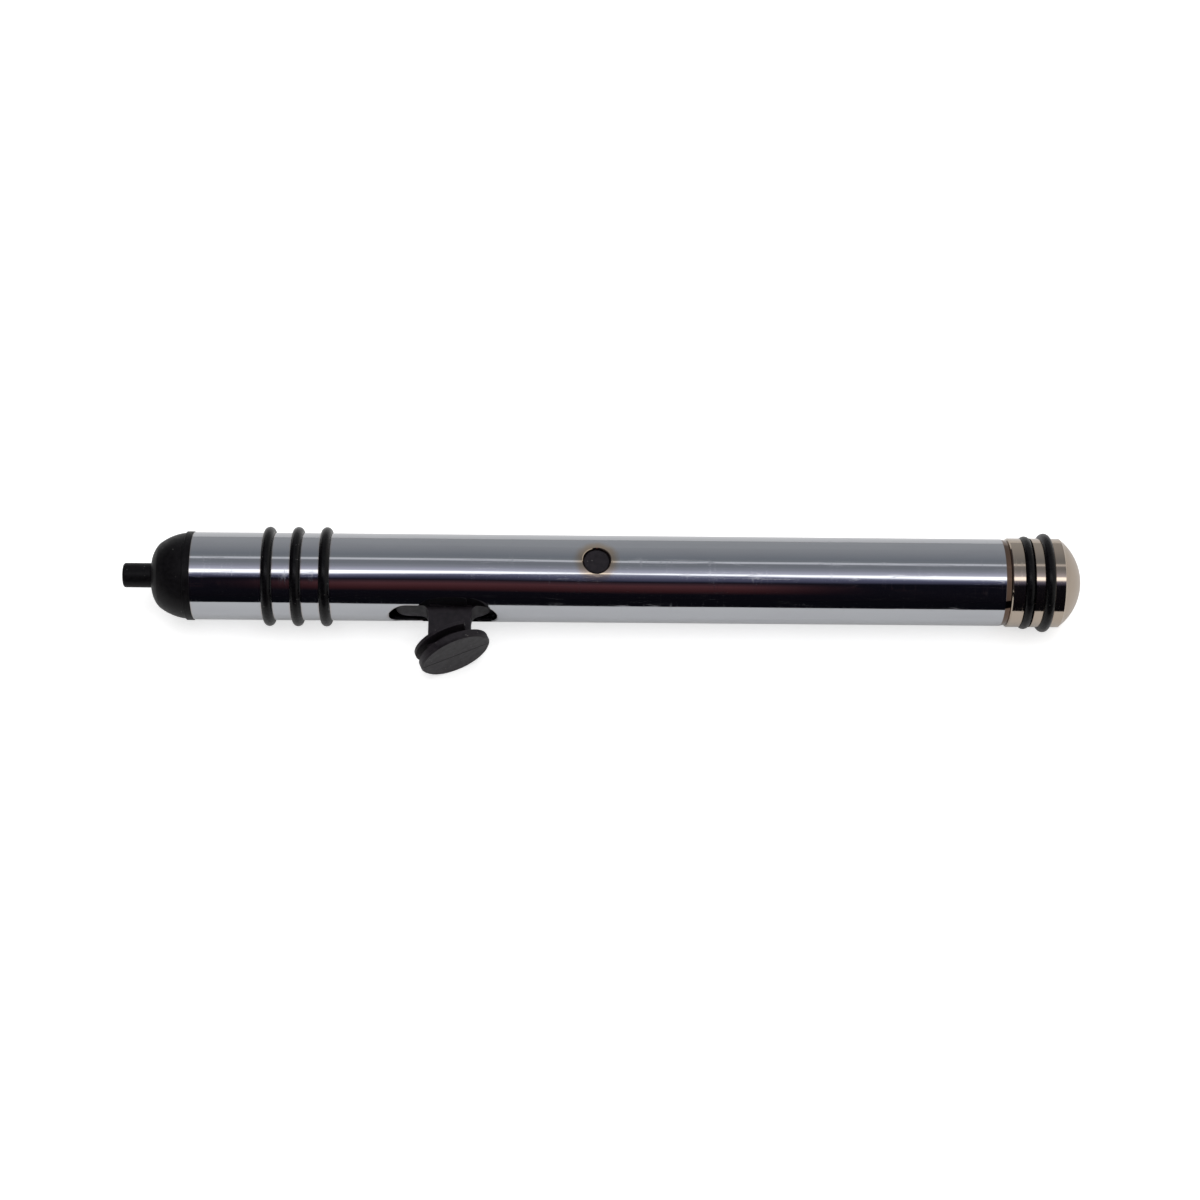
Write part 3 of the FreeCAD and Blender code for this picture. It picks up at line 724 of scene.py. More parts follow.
class FinishShelf:
    """Every finish of the pen, built once and handed to the pieces."""

    def __init__(self) -> None:
        """Build the materials."""
        effects = SurfaceEffects()
        recipes = {
            Finish.CHROME: PlatedFinish(
                name="lightly_scratched_chrome", colour=(0.44, 0.45, 0.475),
                edge_tint=(0.36, 0.29, 0.235), haze_tint=(0.415, 0.42, 0.45), polish=0.05,
                scratch_cover=0.42, ripple_mm=0.009, hole_station_mm=70.1, joint_shade_from_mm=130.5,
            ),
            Finish.NICKEL: PlatedFinish(
                name="warm_nickel_with_satin_dome", colour=(0.43, 0.362, 0.298),
                edge_tint=(0.36, 0.275, 0.2), haze_tint=(0.41, 0.342, 0.278), polish=0.07,
                scratch_cover=0.4, ripple_mm=0.005, halo_mm=0.3, satin_from_mm=139.4,
            ),
            Finish.BRASS: TurnedFinish(),
            Finish.BULB: GrainedFinish(
                name="soft_bulb_rubber", colour=(0.022, 0.02, 0.02), bloom=(0.05, 0.045, 0.042),
                roughness=0.62, gloss=0.3, grain_per_mm=5.0, grain_mm=0.008, dust=0.25,
            ),
            Finish.RING: GrainedFinish(
                name="smooth_ring_rubber", colour=(0.0012, 0.001, 0.0014),
                bloom=(0.004, 0.0035, 0.0045), roughness=0.24, gloss=0.16, grain_per_mm=9.0,
                grain_mm=0.001, dust=0.3, edge_wear=0.0,
            ),
            Finish.NOSE: GrainedFinish(
                name="matte_nose_rubber", colour=(0.003, 0.0026, 0.0032),
                bloom=(0.008, 0.0072, 0.0085), roughness=0.36, gloss=0.1, grain_per_mm=7.0,
                grain_mm=0.005, dust=0.35,
            ),
            Finish.MOULDING: GrainedFinish(
                name="grained_black_moulding", colour=(0.009, 0.0072, 0.0095),
                bloom=(0.034, 0.028, 0.0345), roughness=0.4, gloss=0.22, grain_per_mm=6.0,
                grain_mm=0.009, dust=0.35, bloom_share=0.25, tone_roughness=0.12, edge_mm=0.18,
                edge_breakup=0.7, edge_wear=0.8, dust_tint=(0.34, 0.33, 0.32), seam_from_mm=7.2,
            ),
        }
        self.materials = {finish: recipe.build(effects) for finish, recipe in recipes.items()}

    def dress_node(self, node: str, finish: Finish) -> None:
        """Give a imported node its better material.

        Args:
            node: The node's name.
            finish: Its finish.
        """
        for place in bpy.data.objects[node].material_slots:
            place.material = self.materials[finish]
        LOG.info("%s dressed as %s", node, finish.value)

    def dress_piece(self, piece: bpy.types.Object, finish: Finish) -> None:
        """Give a new piece its material.

        Args:
            piece: The new piece.
            finish: Its finish.
        """
        piece.data.materials.clear()
        piece.data.materials.append(self.materials[finish])
        LOG.info("%s built in %s", piece.name, finish.value)


class Bench:
    """The steps of modelling by hand: start a piece, pick parts of it, finish it."""

    @staticmethod
    def start(name: str) -> bpy.types.Object:
        """Name the primitive that was just added and put its place in its mesh.

        Args:
            name: The piece's name.

        Returns:
            The piece.
        """
        piece = bpy.context.active_object
        piece.name = name
        piece.data.name = name
        bpy.ops.object.transform_apply(location=True, rotation=True, scale=True)
        return piece

    @classmethod
    def cylinder(
        cls,
        name: str,
        faces: int,
        radius: float,
        depth: float,
        middle: Sequence[float],
        turn: Sequence[float],
    ) -> bpy.types.Object:
        """Add a closed cylinder.

        Args:
            name: The piece's name.
            faces: How many faces go round it.
            radius: Its radius in metres.
            depth: Its length.
            middle: Its middle.
            turn: The rotation that its axis takes from Z.

        Returns:
            The piece.
        """
        bpy.ops.object.select_all(action="DESELECT")
        bpy.ops.mesh.primitive_cylinder_add(
            vertices=faces, radius=radius, depth=depth, end_fill_type="NGON",
            location=middle, rotation=turn,
        )
        return cls.start(name)

    @staticmethod
    def edit(kind: str) -> None:
        """Enter edit mode with nothing selected.

        Args:
            kind: VERT, EDGE or FACE.
        """
        bpy.ops.object.mode_set(mode="EDIT")
        bpy.ops.mesh.select_mode(type=kind)
        bpy.ops.mesh.select_all(action="DESELECT")

    @staticmethod
    def pick_faces(piece: bpy.types.Object, wanted: Callable[[Vector, Vector], bool]) -> None:
        """Select faces by their middle and normal.

        Args:
            piece: The piece in edit mode.
            wanted: Says whether a face with this middle and normal is selected.
        """
        mesh = bmesh.from_edit_mesh(piece.data)
        for face in mesh.faces:
            face.select_set(wanted(face.calc_center_median(), face.normal))
        bmesh.update_edit_mesh(piece.data)

    @staticmethod
    def pick_edges(piece: bpy.types.Object, wanted: Callable[[Vector, Vector], bool]) -> None:
        """Select edges by their two ends.

        Args:
            piece: The piece in edit mode.
            wanted: Says whether an edge between these two points is selected.
        """
        mesh = bmesh.from_edit_mesh(piece.data)
        for edge in mesh.edges:
            edge.select_set(wanted(edge.verts[0].co, edge.verts[1].co))
        bmesh.update_edit_mesh(piece.data)

    @staticmethod
    def slice_at(station: float, **options: bool) -> None:
        """Cut the whole piece with a plane across the pen."""
        bpy.ops.mesh.select_all(action="SELECT")
        bpy.ops.mesh.bisect(plane_co=(station, 0.0, 0.0), plane_no=PEN_AXIS, **options)

    @staticmethod
    def extrude(way: Vector) -> None:
        """Extrude the selected faces along a way in metres."""
        bpy.ops.mesh.extrude_region_move(TRANSFORM_OT_translate={"value": tuple(way)})

    @staticmethod
    def close(smooth_below: float = 40.0) -> None:
        """Merge doubles, turn the faces outwards and leave edit mode.

        Args:
            smooth_below: Edges flatter than this many degrees shade smooth.
        """
        bpy.ops.mesh.select_all(action="SELECT")
        bpy.ops.mesh.remove_doubles(threshold=WELD)
        bpy.ops.mesh.normals_make_consistent(inside=False)
        bpy.ops.object.mode_set(mode="OBJECT")
        bpy.ops.object.shade_smooth_by_angle(angle=math.radians(smooth_below))

    @staticmethod
    def round_edges(piece: bpy.types.Object, width_mm: float, sharp_above: float = 50.0) -> None:
        """Round the sharp edges with a Bevel modifier and apply it.

        Args:
            piece: The piece.
            width_mm: The rounding's width.
            sharp_above: Edges sharper than this many degrees are rounded.
        """
        rounding = piece.modifiers.new("rounding", "BEVEL")
        rounding.width = width_mm * MM
        rounding.segments = 2
        rounding.limit_method = "ANGLE"
        rounding.angle_limit = math.radians(sharp_above)
        bpy.ops.object.modifier_apply(modifier=rounding.name)


@dataclass(frozen=True)
class RingSeat:
    """Where one rubber ring sits along the pen and how large it is, in metres."""

    station: float
    cord: float
    reach: float

    @classmethod
    def of(cls, node: str) -> RingSeat:
        """Read a ring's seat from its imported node."""
        low, high = (Vector(corner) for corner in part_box(node))
        return cls((low.x + high.x) / 2.0, high.x - low.x, (high.z - low.z) / 2.0)


@dataclass
class RubberRings:
    """Moulded rubber rings, each with the fine flash line round its outside."""

    nodes: Sequence[str]
    body: Body
    turns: int = 144
    cord_faces: int = 32
    press: float = 0.05
    flash_width: float = 0.10
    flash_height: float = 0.008
    rim_share: float = 0.02
    smooth_below: float = 60.0

    def build(self, shelf: FinishShelf) -> None:
        """Make every ring of the set.

        Args:
            shelf: The finishes.
        """
        for node in self.nodes:
            ring = self._ring(node + "_moulded", RingSeat.of(node))
            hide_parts(node)
            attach(ring, self.body.value)
            shelf.dress_piece(ring, Finish.RING)

    def _ring(self, name: str, seat: RingSeat) -> bpy.types.Object:
        """Shape one ring.

        Args:
            name: The ring's name.
            seat: Where it sits.

        Returns:
            The ring.
        """
        middle = (seat.station, 0.0, 0.0)
        bpy.ops.object.select_all(action="DESELECT")
        bpy.ops.mesh.primitive_torus_add(
            major_segments=self.turns,
            minor_segments=self.cord_faces,
            major_radius=seat.reach - seat.cord / 2.0 - self.press * MM,
            minor_radius=seat.cord / 2.0 + self.press * MM,
            location=middle,
            rotation=ALONG_PEN,
        )
        ring = Bench.start(name)
        Bench.edit("EDGE")
        near = seat.cord * self.rim_share

        def on_rim(first: Vector, second: Vector) -> bool:
            """Whether an edge lies on the ring's outermost circle."""
            return all(
                abs(end.x - seat.station) < near and math.hypot(end.y, end.z) > seat.reach - near
                for end in (first, second)
            )

        Bench.pick_edges(ring, on_rim)
        bpy.ops.mesh.bevel(offset=self.flash_width * MM / 2.0, segments=2, affect="EDGES")
        Bench.pick_edges(ring, on_rim)
        rise = 1.0 + self.flash_height * MM / seat.reach
        bpy.ops.transform.resize(value=(1.0, rise, rise), center_override=middle)
        Bench.close(self.smooth_below)
        return ring


@dataclass
class Nose:
    """The black nose with its nozzle."""

    def build(self, shelf: FinishShelf) -> None:
        """Dress the nose."""
        shelf.dress_node("nose_cone", Finish.NOSE)


@dataclass
class SuctionBulb:
    """The rubber bulb: a sleeve gripping the connector and a deep cup with a rounded back."""

    wall: float = 1.1
    sleeve_length: float = 14.5
    sleeve_rounding: float = 0.12
    groove_start: float = 1.6
    groove_width: float = 0.9
    groove_pitch: float = 2.6
    groove_depth: float = 0.25
    groove_count: int = 3
    back_round: float = 2.2
    back_steps: int = 10
    dish_inset: float = 0.6
    dish_depth: float = 0.4
    body_slices: int = 12
    squash_keep: float = 0.6
    faces_round: int = 72

    def build(self, shelf: FinishShelf) -> None:
        """Make both halves of the bulb.

        Args:
            shelf: The finishes.
        """
        low, high = (Vector(corner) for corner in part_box("suction_bulb"))
        radius = (high.z - low.z) / 2.0
        join = low.x + self.sleeve_length * MM
        sleeve = self._sleeve(low.x, join, radius)
        body = self._body(join, high.x, radius)
        for piece in (sleeve, body):
            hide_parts("suction_bulb")
            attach(piece, Body.BARREL.value)
            shelf.dress_piece(piece, Finish.BULB)
        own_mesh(body)

    def _tube(self, name: str, start: float, end: float, radius: float) -> bpy.types.Object:
        """Add a closed cylinder between two stations of the pen."""
        middle = ((start + end) / 2.0, 0.0, 0.0)
        return Bench.cylinder(name, self.faces_round, radius, end - start, middle, ALONG_PEN)

    def _sleeve(self, start: float, end: float, radius: float) -> bpy.types.Object:
        """Shape the sleeve: a tube with grip grooves near its mouth.

        Args:
            start: The mouth's station in metres.
            end: The station where the body begins.
            radius: The outer radius.

        Returns:
            The sleeve.
        """
        sleeve = self._tube("bulb_sleeve", start, end, radius)
        Bench.edit("FACE")
        half = self.groove_width * MM / 2.0
        sink = {"value": -self.groove_depth * MM}
        for number in range(self.groove_count):
            middle = start + (self.groove_start + number * self.groove_pitch) * MM
            for side in (-half, half):
                Bench.slice_at(middle + side)
            Bench.pick_faces(
                sleeve,
                lambda spot, normal: abs(spot.x - middle) < half and abs(normal.x) < ACROSS,
            )
            bpy.ops.mesh.extrude_region_shrink_fatten(TRANSFORM_OT_shrink_fatten=sink)

        def is_end(spot: Vector, normal: Vector) -> bool:
            """Whether a face closes either end of the tube."""
            off = min(abs(spot.x - start), abs(spot.x - end))
            return abs(normal.x) > FACING and off < SLACK

        Bench.pick_faces(sleeve, is_end)
        bpy.ops.mesh.inset(thickness=self.wall * MM)
        bpy.ops.mesh.bridge_edge_loops()
        Bench.close()
        Bench.round_edges(sleeve, self.sleeve_rounding)
        return sleeve

    def _body(self, start: float, end: float, radius: float) -> bpy.types.Object:
        """Shape the body: a deep cup with a rounded back.

        Args:
            start: The station where it meets the sleeve, in metres.
            end: The back's station.
            radius: The outer radius.

        Returns:
            The body.
        """
        body = self._tube("bulb_body", start, end, radius)
        Bench.edit("EDGE")
        Bench.pick_edges(body, lambda first, second: min(first.x, second.x) > end - SLACK)
        bpy.ops.mesh.bevel(
            offset=self.back_round * MM, segments=self.back_steps, affect="EDGES"
        )
        bpy.ops.mesh.select_mode(type="FACE")
        Bench.pick_faces(
            body, lambda spot, normal: normal.x < -FACING and spot.x < start + SLACK
        )
        bpy.ops.mesh.inset(thickness=self.wall * MM)
        Bench.extrude(PEN_AXIS * (end - start - 2.0 * self.wall * MM))
        bpy.ops.mesh.inset(thickness=self.dish_inset * MM)
        bpy.ops.transform.translate(value=(self.dish_depth * MM, 0.0, 0.0))
        for number in range(1, self.body_slices):
            Bench.slice_at(start + (end - start) * number / self.body_slices)
        Bench.close()
        return body


@dataclass
class Barrel:
    """The plated tube with its connector, pivot pin and plug."""

    finishes: tuple[tuple[str, Finish], ...] = (
        ("barrel_tube", Finish.CHROME),
        ("bulb_connector", Finish.BRASS),
        ("pivot_pin", Finish.MOULDING),
        ("handle_plug", Finish.MOULDING),
    )

    def build(self, shelf: FinishShelf) -> None:
        """Dress the barrel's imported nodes."""
        for node, finish in self.finishes:
            shelf.dress_node(node, finish)


@dataclass
class Lever:
    """The moulded lever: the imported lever's saddle, arm and stem under a finer spool button.

    Lengths on the button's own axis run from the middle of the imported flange
    towards the face.
    """

    stem_station: float = 48.55
    flange_reach: float = 10.36
    tilt: float = 23.4
    packed_flange: float = 0.7
    flange: float = 0.55
    groove: float = 1.25
    disc: float = 1.1
    rim_radius: float = 5.41
    flange_radius: float = 5.2
    flange_shift: float = -0.22
    flange_end: float = 50.9
    flange_corner: float = 1.3
    corner_steps: int = 8
    core_radius: float = 2.9
    face_bevel: float = 0.27
    edge_rounding: float = 0.07
    seam_width: float = 0.12
    seam_height: float = 0.035
    stem_cut: float = 0.3
    stem_in_disc: float = 0.3
    button_zone: float = 3.2
    weld: float = 0.001
    smooth_below: float = 32.0
    faces_round: int = 128

    @property
    def lean(self) -> Vector:
        """The direction the button's face looks in."""
        turn = math.radians(self.tilt)
        return SLOT_SIDE * math.cos(turn) + PEN_AXIS * math.sin(turn)

    @property
    def back(self) -> float:
        """The flange's back on the button's axis."""
        return -self.packed_flange / 2.0

    @property
    def disc_back(self) -> float:
        """The disc's back on the button's axis."""
        return self.back + self.flange + self.groove

    def along(self, length: float) -> Vector:
        """The point, in metres, at a length on the button's axis."""
        middle = PEN_AXIS * self.stem_station + SLOT_SIDE * self.flange_reach
        return (middle + self.lean * length) * MM

    def build(self, shelf: FinishShelf) -> None:
        """Make the lever.

        Args:
            shelf: The finishes.
        """
        lever = self._stem_and_saddle()
        parts = [self._spool(), self._flange(), lever]
        bpy.ops.object.select_all(action="DESELECT")
        for part in parts:
            part.select_set(True)
        bpy.context.view_layer.objects.active = lever
        bpy.ops.object.join()
        bpy.ops.object.shade_smooth_by_angle(angle=math.radians(self.smooth_below))
        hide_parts("lever")
        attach(lever, Body.LEVER.value)
        shelf.dress_piece(lever, Finish.MOULDING)

    def _copy_of_packed(self, name: str) -> bpy.types.Object:
        """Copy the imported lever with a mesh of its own, as the active object.

        Args:
            name: The copy's name.

        Returns:
            The copy.
        """
        packed = bpy.data.objects["lever"]
        twin = packed.copy()
        twin.data = packed.data.copy()
        twin.name = name
        twin.data.name = name
        bpy.context.collection.objects.link(twin)
        bpy.ops.object.select_all(action="DESELECT")
        bpy.context.view_layer.objects.active = twin
        twin.select_set(True)
        return twin

    def _stem_and_saddle(self) -> bpy.types.Object:
        """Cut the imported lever's button off and run its stem on to the new disc.

        Returns:
            The lever without a button.
        """
        lever = self._copy_of_packed("lever_moulded")
        bpy.ops.mesh.customdata_custom_splitnormals_clear()
        Bench.edit("FACE")
        bpy.ops.mesh.select_all(action="SELECT")
        bpy.ops.mesh.remove_doubles(threshold=self.weld * MM)
        low = (self.flange_reach - self.button_zone) * MM
        Bench.pick_faces(lever, lambda spot, normal: spot.dot(SLOT_SIDE) > low)
        cut = self.along(self.back - self.stem_cut)
        bpy.ops.mesh.bisect(plane_co=cut, plane_no=self.lean, clear_outer=True, use_fill=True)
        level = cut.dot(self.lean) - self.weld * MM
        Bench.pick_faces(
            lever,
            lambda spot, normal: spot.dot(self.lean) > level and spot.dot(SLOT_SIDE) > low,
        )
        gap = self.disc_back + self.stem_in_disc - self.back + self.stem_cut
        Bench.extrude(SLOT_SIDE * (gap / math.cos(math.radians(self.tilt))) * MM)
        bpy.ops.mesh.select_all(action="SELECT")
        bpy.ops.mesh.normals_make_consistent(inside=False)
        bpy.ops.object.mode_set(mode="OBJECT")
        return lever

    def _disc(self, name: str, start: float, end: float, radius: float) -> bpy.types.Object:
        """Add a round plate on the button's axis.

        Args:
            name: The plate's name.
            start: Its back on the axis.
            end: Its front.
            radius: Its radius.

        Returns:
            The plate.
        """
        middle = self.along((start + end) / 2.0)
        turn = self.lean.to_track_quat("Z", "Y").to_euler()
        depth = (end - start) * MM
        return Bench.cylinder(name, self.faces_round, radius * MM, depth, middle, turn)

    def _flange(self) -> bpy.types.Object:
        """Shape the flange: a round plate that ends a little short of the stem's back face.

        Returns:
            The flange.
        """
        front = self.back + self.flange
        plate = self._disc("spool_flange", self.back, front, self.flange_radius)
        Bench.edit("FACE")
        bpy.ops.mesh.select_all(action="SELECT")
        turn = math.radians(self.tilt)
        aside = PEN_AXIS * math.cos(turn) - SLOT_SIDE * math.sin(turn)
        bpy.ops.transform.translate(value=aside * self.flange_shift * MM)
        end = self.flange_end * MM
        Bench.slice_at(end, clear_outer=True, use_fill=True)
        bpy.ops.mesh.select_mode(type="EDGE")

        def is_corner(first: Vector, second: Vector) -> bool:
            """Whether an edge runs along the button's axis where the flange ends."""
            way = (second - first).normalized()
            return min(first.x, second.x) > end - SLACK and abs(way.dot(PIN_SIDE)) < ACROSS

        Bench.pick_edges(plate, is_corner)
        bpy.ops.mesh.bevel(
            offset=self.flange_corner * MM, segments=self.corner_steps, affect="EDGES"
        )
        Bench.close(self.smooth_below)
        Bench.round_edges(plate, self.edge_rounding)
        return plate

    def _spool(self) -> bpy.types.Object:
        """Shape the disc and its core, with a bevelled face and its parting ridge.

        Returns:
            The disc.
        """
        face = self.disc_back + self.disc
        spool = self._disc("spool_button", self.disc_back, face, self.rim_radius)
        Bench.edit("FACE")
        Bench.pick_faces(spool, lambda spot, normal: normal.dot(self.lean) < -SQUARE_ON)
        bpy.ops.mesh.inset(thickness=(self.rim_radius - self.core_radius) * MM)
        Bench.extrude(self.lean * (-(self.groove + self.flange / 2.0) * MM))
        bpy.ops.mesh.select_mode(type="EDGE")
        level = self.along(face).dot(self.lean) - SLACK
        Bench.pick_edges(
            spool,
            lambda first, second: min(first.dot(self.lean), second.dot(self.lean)) > level,
        )
        bpy.ops.mesh.bevel(offset=self.face_bevel * MM, segments=1, affect="EDGES")
        self._raise_seam(spool, level)
        Bench.close(self.smooth_below)
        Bench.round_edges(spool, self.edge_rounding)
        return spool

    def _raise_seam(self, spool: bpy.types.Object, level: float) -> None:
        """Raise the fine ridge that the mould leaves across the face.

        Args:
            spool: The button in edit mode.
            level: A level just under the face along the button's axis, in metres.
        """
        bpy.ops.mesh.select_mode(type="FACE")
        half = self.seam_width * MM / 2.0

        def on_face(spot: Vector, normal: Vector) -> bool:
            """Whether a face is part of the button's flat face."""
            return normal.dot(self.lean) > SQUARE_ON and spot.dot(self.lean) > level

        for side in (-half, half):
            Bench.pick_faces(spool, on_face)
            bpy.ops.mesh.bisect(plane_co=PIN_SIDE * side, plane_no=PIN_SIDE)
        Bench.pick_faces(
            spool,
            lambda spot, normal: on_face(spot, normal) and abs(spot.dot(PIN_SIDE)) < half,
        )
        Bench.extrude(self.lean * self.seam_height * MM)


@dataclass
class Cap:
    """The plated cap with its domed end."""

    def build(self, shelf: FinishShelf) -> None:
        """Dress the cap."""
        shelf.dress_node("end_cap", Finish.NICKEL)


@dataclass
class Viewpoint:
    """The photograph's camera: its place in millimetres, angles in degrees and lens."""

    place: tuple[float, float, float] = (61.79, -216.89, 303.64)
    azimuth: float = 2.398
    elevation: float = 54.916
    roll: float = 2.441
    lens: float = 75.066
    sensor: float = 36.0
    nearest: float = 10.0

    def build(self) -> None:
        """Make the camera and look through it."""
        turn, tilt, roll = (
            math.radians(angle) for angle in (self.azimuth, self.elevation, self.roll)
        )
        flat = math.cos(tilt)
        forward = Vector((math.sin(turn) * flat, math.cos(turn) * flat, -math.sin(tilt)))
        level = forward.cross(Vector((0.0, 0.0, 1.0))).normalized()
        upright = level.cross(forward)
        right = level * math.cos(roll) + upright * math.sin(roll)
        up = upright * math.cos(roll) - level * math.sin(roll)
        camera = bpy.data.objects.new("photo_camera", bpy.data.cameras.new("photo_camera"))
        camera.data.lens = self.lens
        camera.data.sensor_width = self.sensor
        camera.data.clip_start = self.nearest * MM
        aim = Matrix((right, up, -forward)).transposed().to_4x4()
        camera.matrix_world = Matrix.Translation(Vector(self.place) * MM) @ aim
        bpy.context.collection.objects.link(camera)
        bpy.context.scene.camera = camera


@dataclass
class Studio:
    """A white table under a long soft box, with a dark card in front of it."""

    table_size: float = 6000.0
    table_colour: Colour = (0.8, 0.8, 0.8)
    table_glow: float = 0.6
    table_glow_in_metal: float = 0.16
    card_colour: Colour = (0.006, 0.006, 0.009)
    card_lift: float = 0.3
    card_near: float = 30.0
    card_slant: float = 0.06
    card_spread: float = 12.0
    card_far: float = 3000.0
    card_half_width: float = 210.0
    fill: float = 0.52
    lamp_front: float = -120.0
    lamp_height: float = 900.0
    lamp_size: float = 900.0
    lamp_watts: float = 4.2
    pen_middle: float = 70.0
    bright: float = 2.6
    middle_reach: float = 0.1
    middle_blend: float = 0.03
    side_start: float = 0.4
    side_end: float = 0.62
    side_glow: Colour = (0.79, 0.78, 0.77)
    left_glow: Colour = (0.07, 0.065, 0.075)
    sway: float = 3.5
    sway_blend: float = 0.04
    # The room as polished metal sees it, in degrees from the table's front edge
    # up over the pen to the back.
    room: tuple[Stop, ...] = (
        (0.0, (0.006, 0.005, 0.008)),
        (50.0, (0.008, 0.008, 0.014)),
        (53.0, (0.05, 0.05, 0.085)),
        (57.5, (0.16, 0.16, 0.25)),
        (61.5, (0.36, 0.37, 0.49)),
        (64.5, (2.0, 2.0, 2.1)),
        (66.0, (2.6, 2.6, 2.6)),
        (71.5, (2.6, 2.6, 2.6)),
        (73.5, (0.9, 0.9, 1.02)),
        (78.0, (0.68, 0.68, 0.8)),
        (84.0, (0.45, 0.46, 0.52)),
        (93.0, (0.317, 0.336, 0.365)),
        (100.5, (0.33, 0.34, 0.37)),
        (103.0, (0.95, 0.96, 1.0)),
        (106.0, (0.95, 0.96, 1.0)),
        (108.5, (0.33, 0.35, 0.37)),
        (117.0, (0.31, 0.33, 0.36)),
        (142.0, (0.44, 0.45, 0.47)),
        (160.0, (0.5, 0.51, 0.525)),
        (180.0, (0.52, 0.53, 0.54)),
    )
    # The warmer tone that is added to it over the pen's middle.
    warm_front: tuple[Stop, ...] = (
        (0.0, (0.0, 0.0, 0.0)),
        (19.0, (0.0, 0.0, 0.0)),
        (28.0, (0.06, 0.013, 0.011)),
        (40.0, (0.125, 0.04, 0.04)),
        (46.0, (0.06, 0.025, 0.028)),
        (51.0, (0.0, 0.0, 0.0)),
        (180.0, (0.0, 0.0, 0.0)),
    )

    def build(self) -> None:
        """Set up the table, the card, the world and the lamp."""
        floor = CAD_BOX[0][2]
        half = self.table_size / 2
        table = self._sheet("table", floor, (-half, half), half)
        table.data.materials.append(self._table_finish())
        depth = (-self.card_far, -self.card_near)
        card = self._sheet("dark_card", floor + self.card_lift * MM, depth, self.card_half_width)
        for corner in card.data.vertices:
            if corner.co.y < -self.card_far / 2 * MM:
                corner.co.x *= self.card_spread
            else:
                corner.co.y += self.card_slant * (corner.co.x - self.pen_middle * MM)
        card.data.materials.append(self._card_finish())
        for way in ("camera", "diffuse", "transmission", "shadow", "volume_scatter"):
            setattr(card, "visible_" + way, False)
        self._lamp(floor)
        self._world()
        LOG.info("studio set up")

    @staticmethod
    def _sheet(
        name: str, height: float, depth: tuple[float, float], half_width: float
    ) -> bpy.types.Object:
        """Lay a flat sheet.

        Args:
            name: Its name.
            height: Its height in metres.
            depth: Where it starts and ends along Y, in millimetres.
            half_width: Half its width along X, in millimetres.

        Returns:
            The sheet.
        """
        middle = (0.0, (depth[0] + depth[1]) / 2 * MM, height)
        bpy.ops.object.select_all(action="DESELECT")
        bpy.ops.mesh.primitive_plane_add(size=1.0, location=middle)
        sheet = bpy.context.active_object
        sheet.scale = (half_width * 2 * MM, (depth[1] - depth[0]) * MM, 1.0)
        return Bench.start(name)

    def _table_finish(self) -> bpy.types.Material:
        """Make matte white paper that the camera and the metal see as white.

        Returns:
            The material.
        """
        material = bpy.data.materials.new("white_table")
        sketch = NodeSketch.on(material)
        paper = sketch.feed(sketch.add("ShaderNodeBsdfDiffuse"), Color=self.table_colour)
        seen = sketch.add("ShaderNodeLightPath").outputs
        mirrored = sketch.math("MAXIMUM", seen["Is Glossy Ray"], seen["Is Transmission Ray"])
        direct = sketch.times(seen["Is Camera Ray"], self.table_glow)
        strength = sketch.scale(mirrored, self.table_glow_in_metal, direct)
        glow = sketch.feed(sketch.add("ShaderNodeEmission"), Strength=strength)
        both = sketch.add("ShaderNodeAddShader")
        sketch.plug(both, {0: paper.outputs["BSDF"], 1: glow.outputs["Emission"]})
        sketch.feed(sketch.add("ShaderNodeOutputMaterial"), Surface=both.outputs["Shader"])
        return material

    def _card_finish(self) -> bpy.types.Material:
        """Make the black card's material.

        Returns:
            The material.
        """
        material = bpy.data.materials.new("black_card")
        sketch = NodeSketch.on(material)
        card = sketch.feed(sketch.add("ShaderNodeBsdfDiffuse"), Color=self.card_colour)
        sketch.feed(sketch.add("ShaderNodeOutputMaterial"), Surface=card.outputs["BSDF"])
        return material

    def _lamp(self, floor: float) -> None:
        """Hang the square soft lamp over the table.

        Args:
            floor: The table's height in metres.
        """
        lamp = bpy.data.lights.new("soft_box", "AREA")
        lamp.size = self.lamp_size * MM
        lamp.energy = self.lamp_watts
        box = bpy.data.objects.new("soft_box", lamp)
        height = floor + self.lamp_height * MM
        box.location = (self.pen_middle * MM, self.lamp_front * MM, height)
        box.visible_glossy = False
        box.visible_camera = False
        bpy.context.collection.objects.link(box)

    def _world(self) -> None:
        """Light the room: white to the camera, plain to matte surfaces, banded to polished."""
        world = bpy.data.worlds.new("studio_room")
        bpy.context.scene.world = world
        sketch = NodeSketch.on(world)
        seen = sketch.add("ShaderNodeLightPath").outputs
        white = (1.0, 1.0, 1.0)
        lights = ((self._polished_room(sketch), self.bright), (white, self.fill), (white, 1.0))
        polished, plain, backdrop = (
            sketch.feed(
                sketch.add("ShaderNodeBackground"), Color=colour, Strength=strength
            ).outputs["Background"]
            for colour, strength in lights
        )
        for ray, chosen in ((seen["Is Glossy Ray"], polished), (seen["Is Camera Ray"], backdrop)):
            either = sketch.add("ShaderNodeMixShader")
            plain = sketch.plug(either, {0: ray, 1: plain, 2: chosen}).outputs["Shader"]
        sketch.feed(sketch.add("ShaderNodeOutputWorld"), Surface=plain)

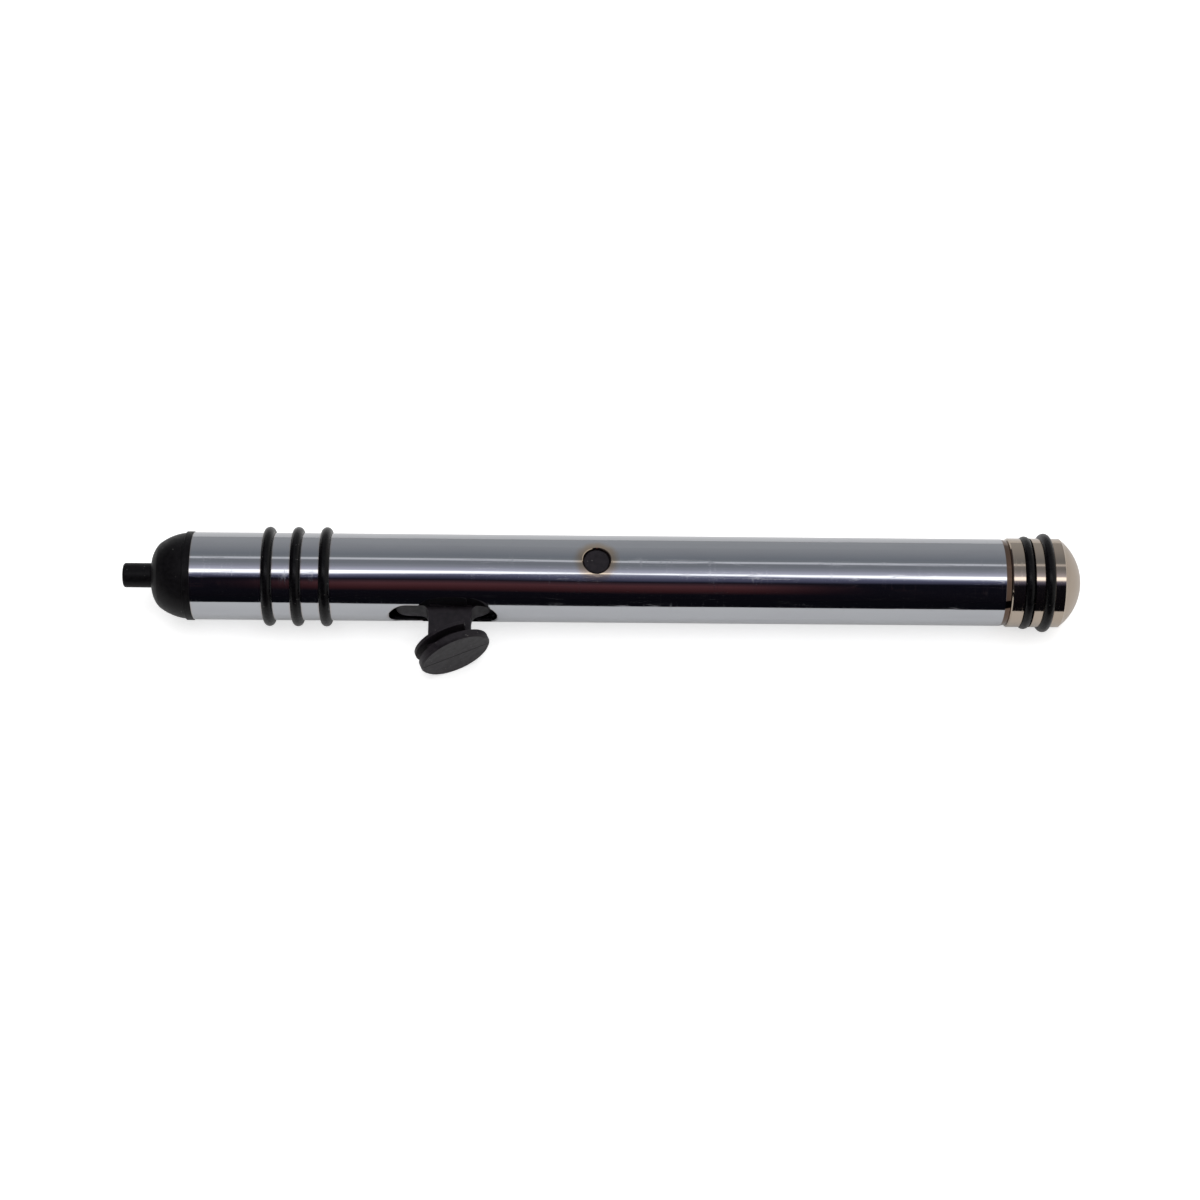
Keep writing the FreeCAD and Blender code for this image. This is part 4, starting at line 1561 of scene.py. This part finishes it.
    def _polished_room(self, sketch: NodeSketch) -> bpy.types.NodeSocket:
        """Draw the room that polished metal reflects.

        Args:
            sketch: The world's node tree.

        Returns:
            The room's colour, in parts of its full brightness.
        """
        aim = sketch.add("ShaderNodeTexCoord").outputs["Generated"]
        parts = sketch.feed(sketch.add("ShaderNodeSeparateXYZ"), Vector=aim).outputs
        front = sketch.times(parts["Y"], -1.0)
        level = sketch.math("DIVIDE", sketch.math("ARCTAN2", parts["Z"], front), math.pi)
        swayed = sketch.step(parts["X"], -self.sway_blend, self.sway_blend)
        angle = sketch.scale(swayed, self.sway / HALF_TURN, level)
        aside = sketch.math("ABSOLUTE", parts["X"])
        over_middle = sketch.step(
            aside, self.middle_reach + self.middle_blend, self.middle_reach - self.middle_blend
        )
        bands, warm = (
            sketch.ramp(angle, [(turn / HALF_TURN, self._dimmed(glow)) for turn, glow in stops])
            for stops in (self.room, self.warm_front)
        )
        room = sketch.mix(over_middle, bands, warm, blend="ADD")
        for way, glow in ((1.0, self.side_glow), (-1.0, self.left_glow)):
            facing = sketch.step(sketch.times(parts["X"], way), self.side_start, self.side_end)
            room = sketch.mix(facing, room, self._dimmed(glow))
        return room

    def _dimmed(self, colour: Colour) -> Colour:
        """Bring a brightness down to a ramp's 0 to 1; the background's strength restores it."""
        return tuple(part / self.bright for part in colour)


def main() -> None:
    """Build the pen from nose to cap, then the studio round it."""
    logging.basicConfig(level=logging.INFO, format="%(name)s: %(message)s")
    bpy.ops.object.select_all(action="DESELECT")
    shelf = FinishShelf()
    Nose().build(shelf)
    Barrel().build(shelf)
    SuctionBulb().build(shelf)
    RubberRings(("grip_ring_1", "grip_ring_2", "grip_ring_3"), Body.BARREL).build(shelf)
    Lever().build(shelf)
    Cap().build(shelf)
    RubberRings(("cap_ring_1", "cap_ring_2", "cap_friction_ring"), Body.CAP).build(shelf)
    Studio().build()
    Viewpoint().build()
    bpy.context.scene.view_settings.view_transform = "Standard"


if __name__ == "__main__":
    main()
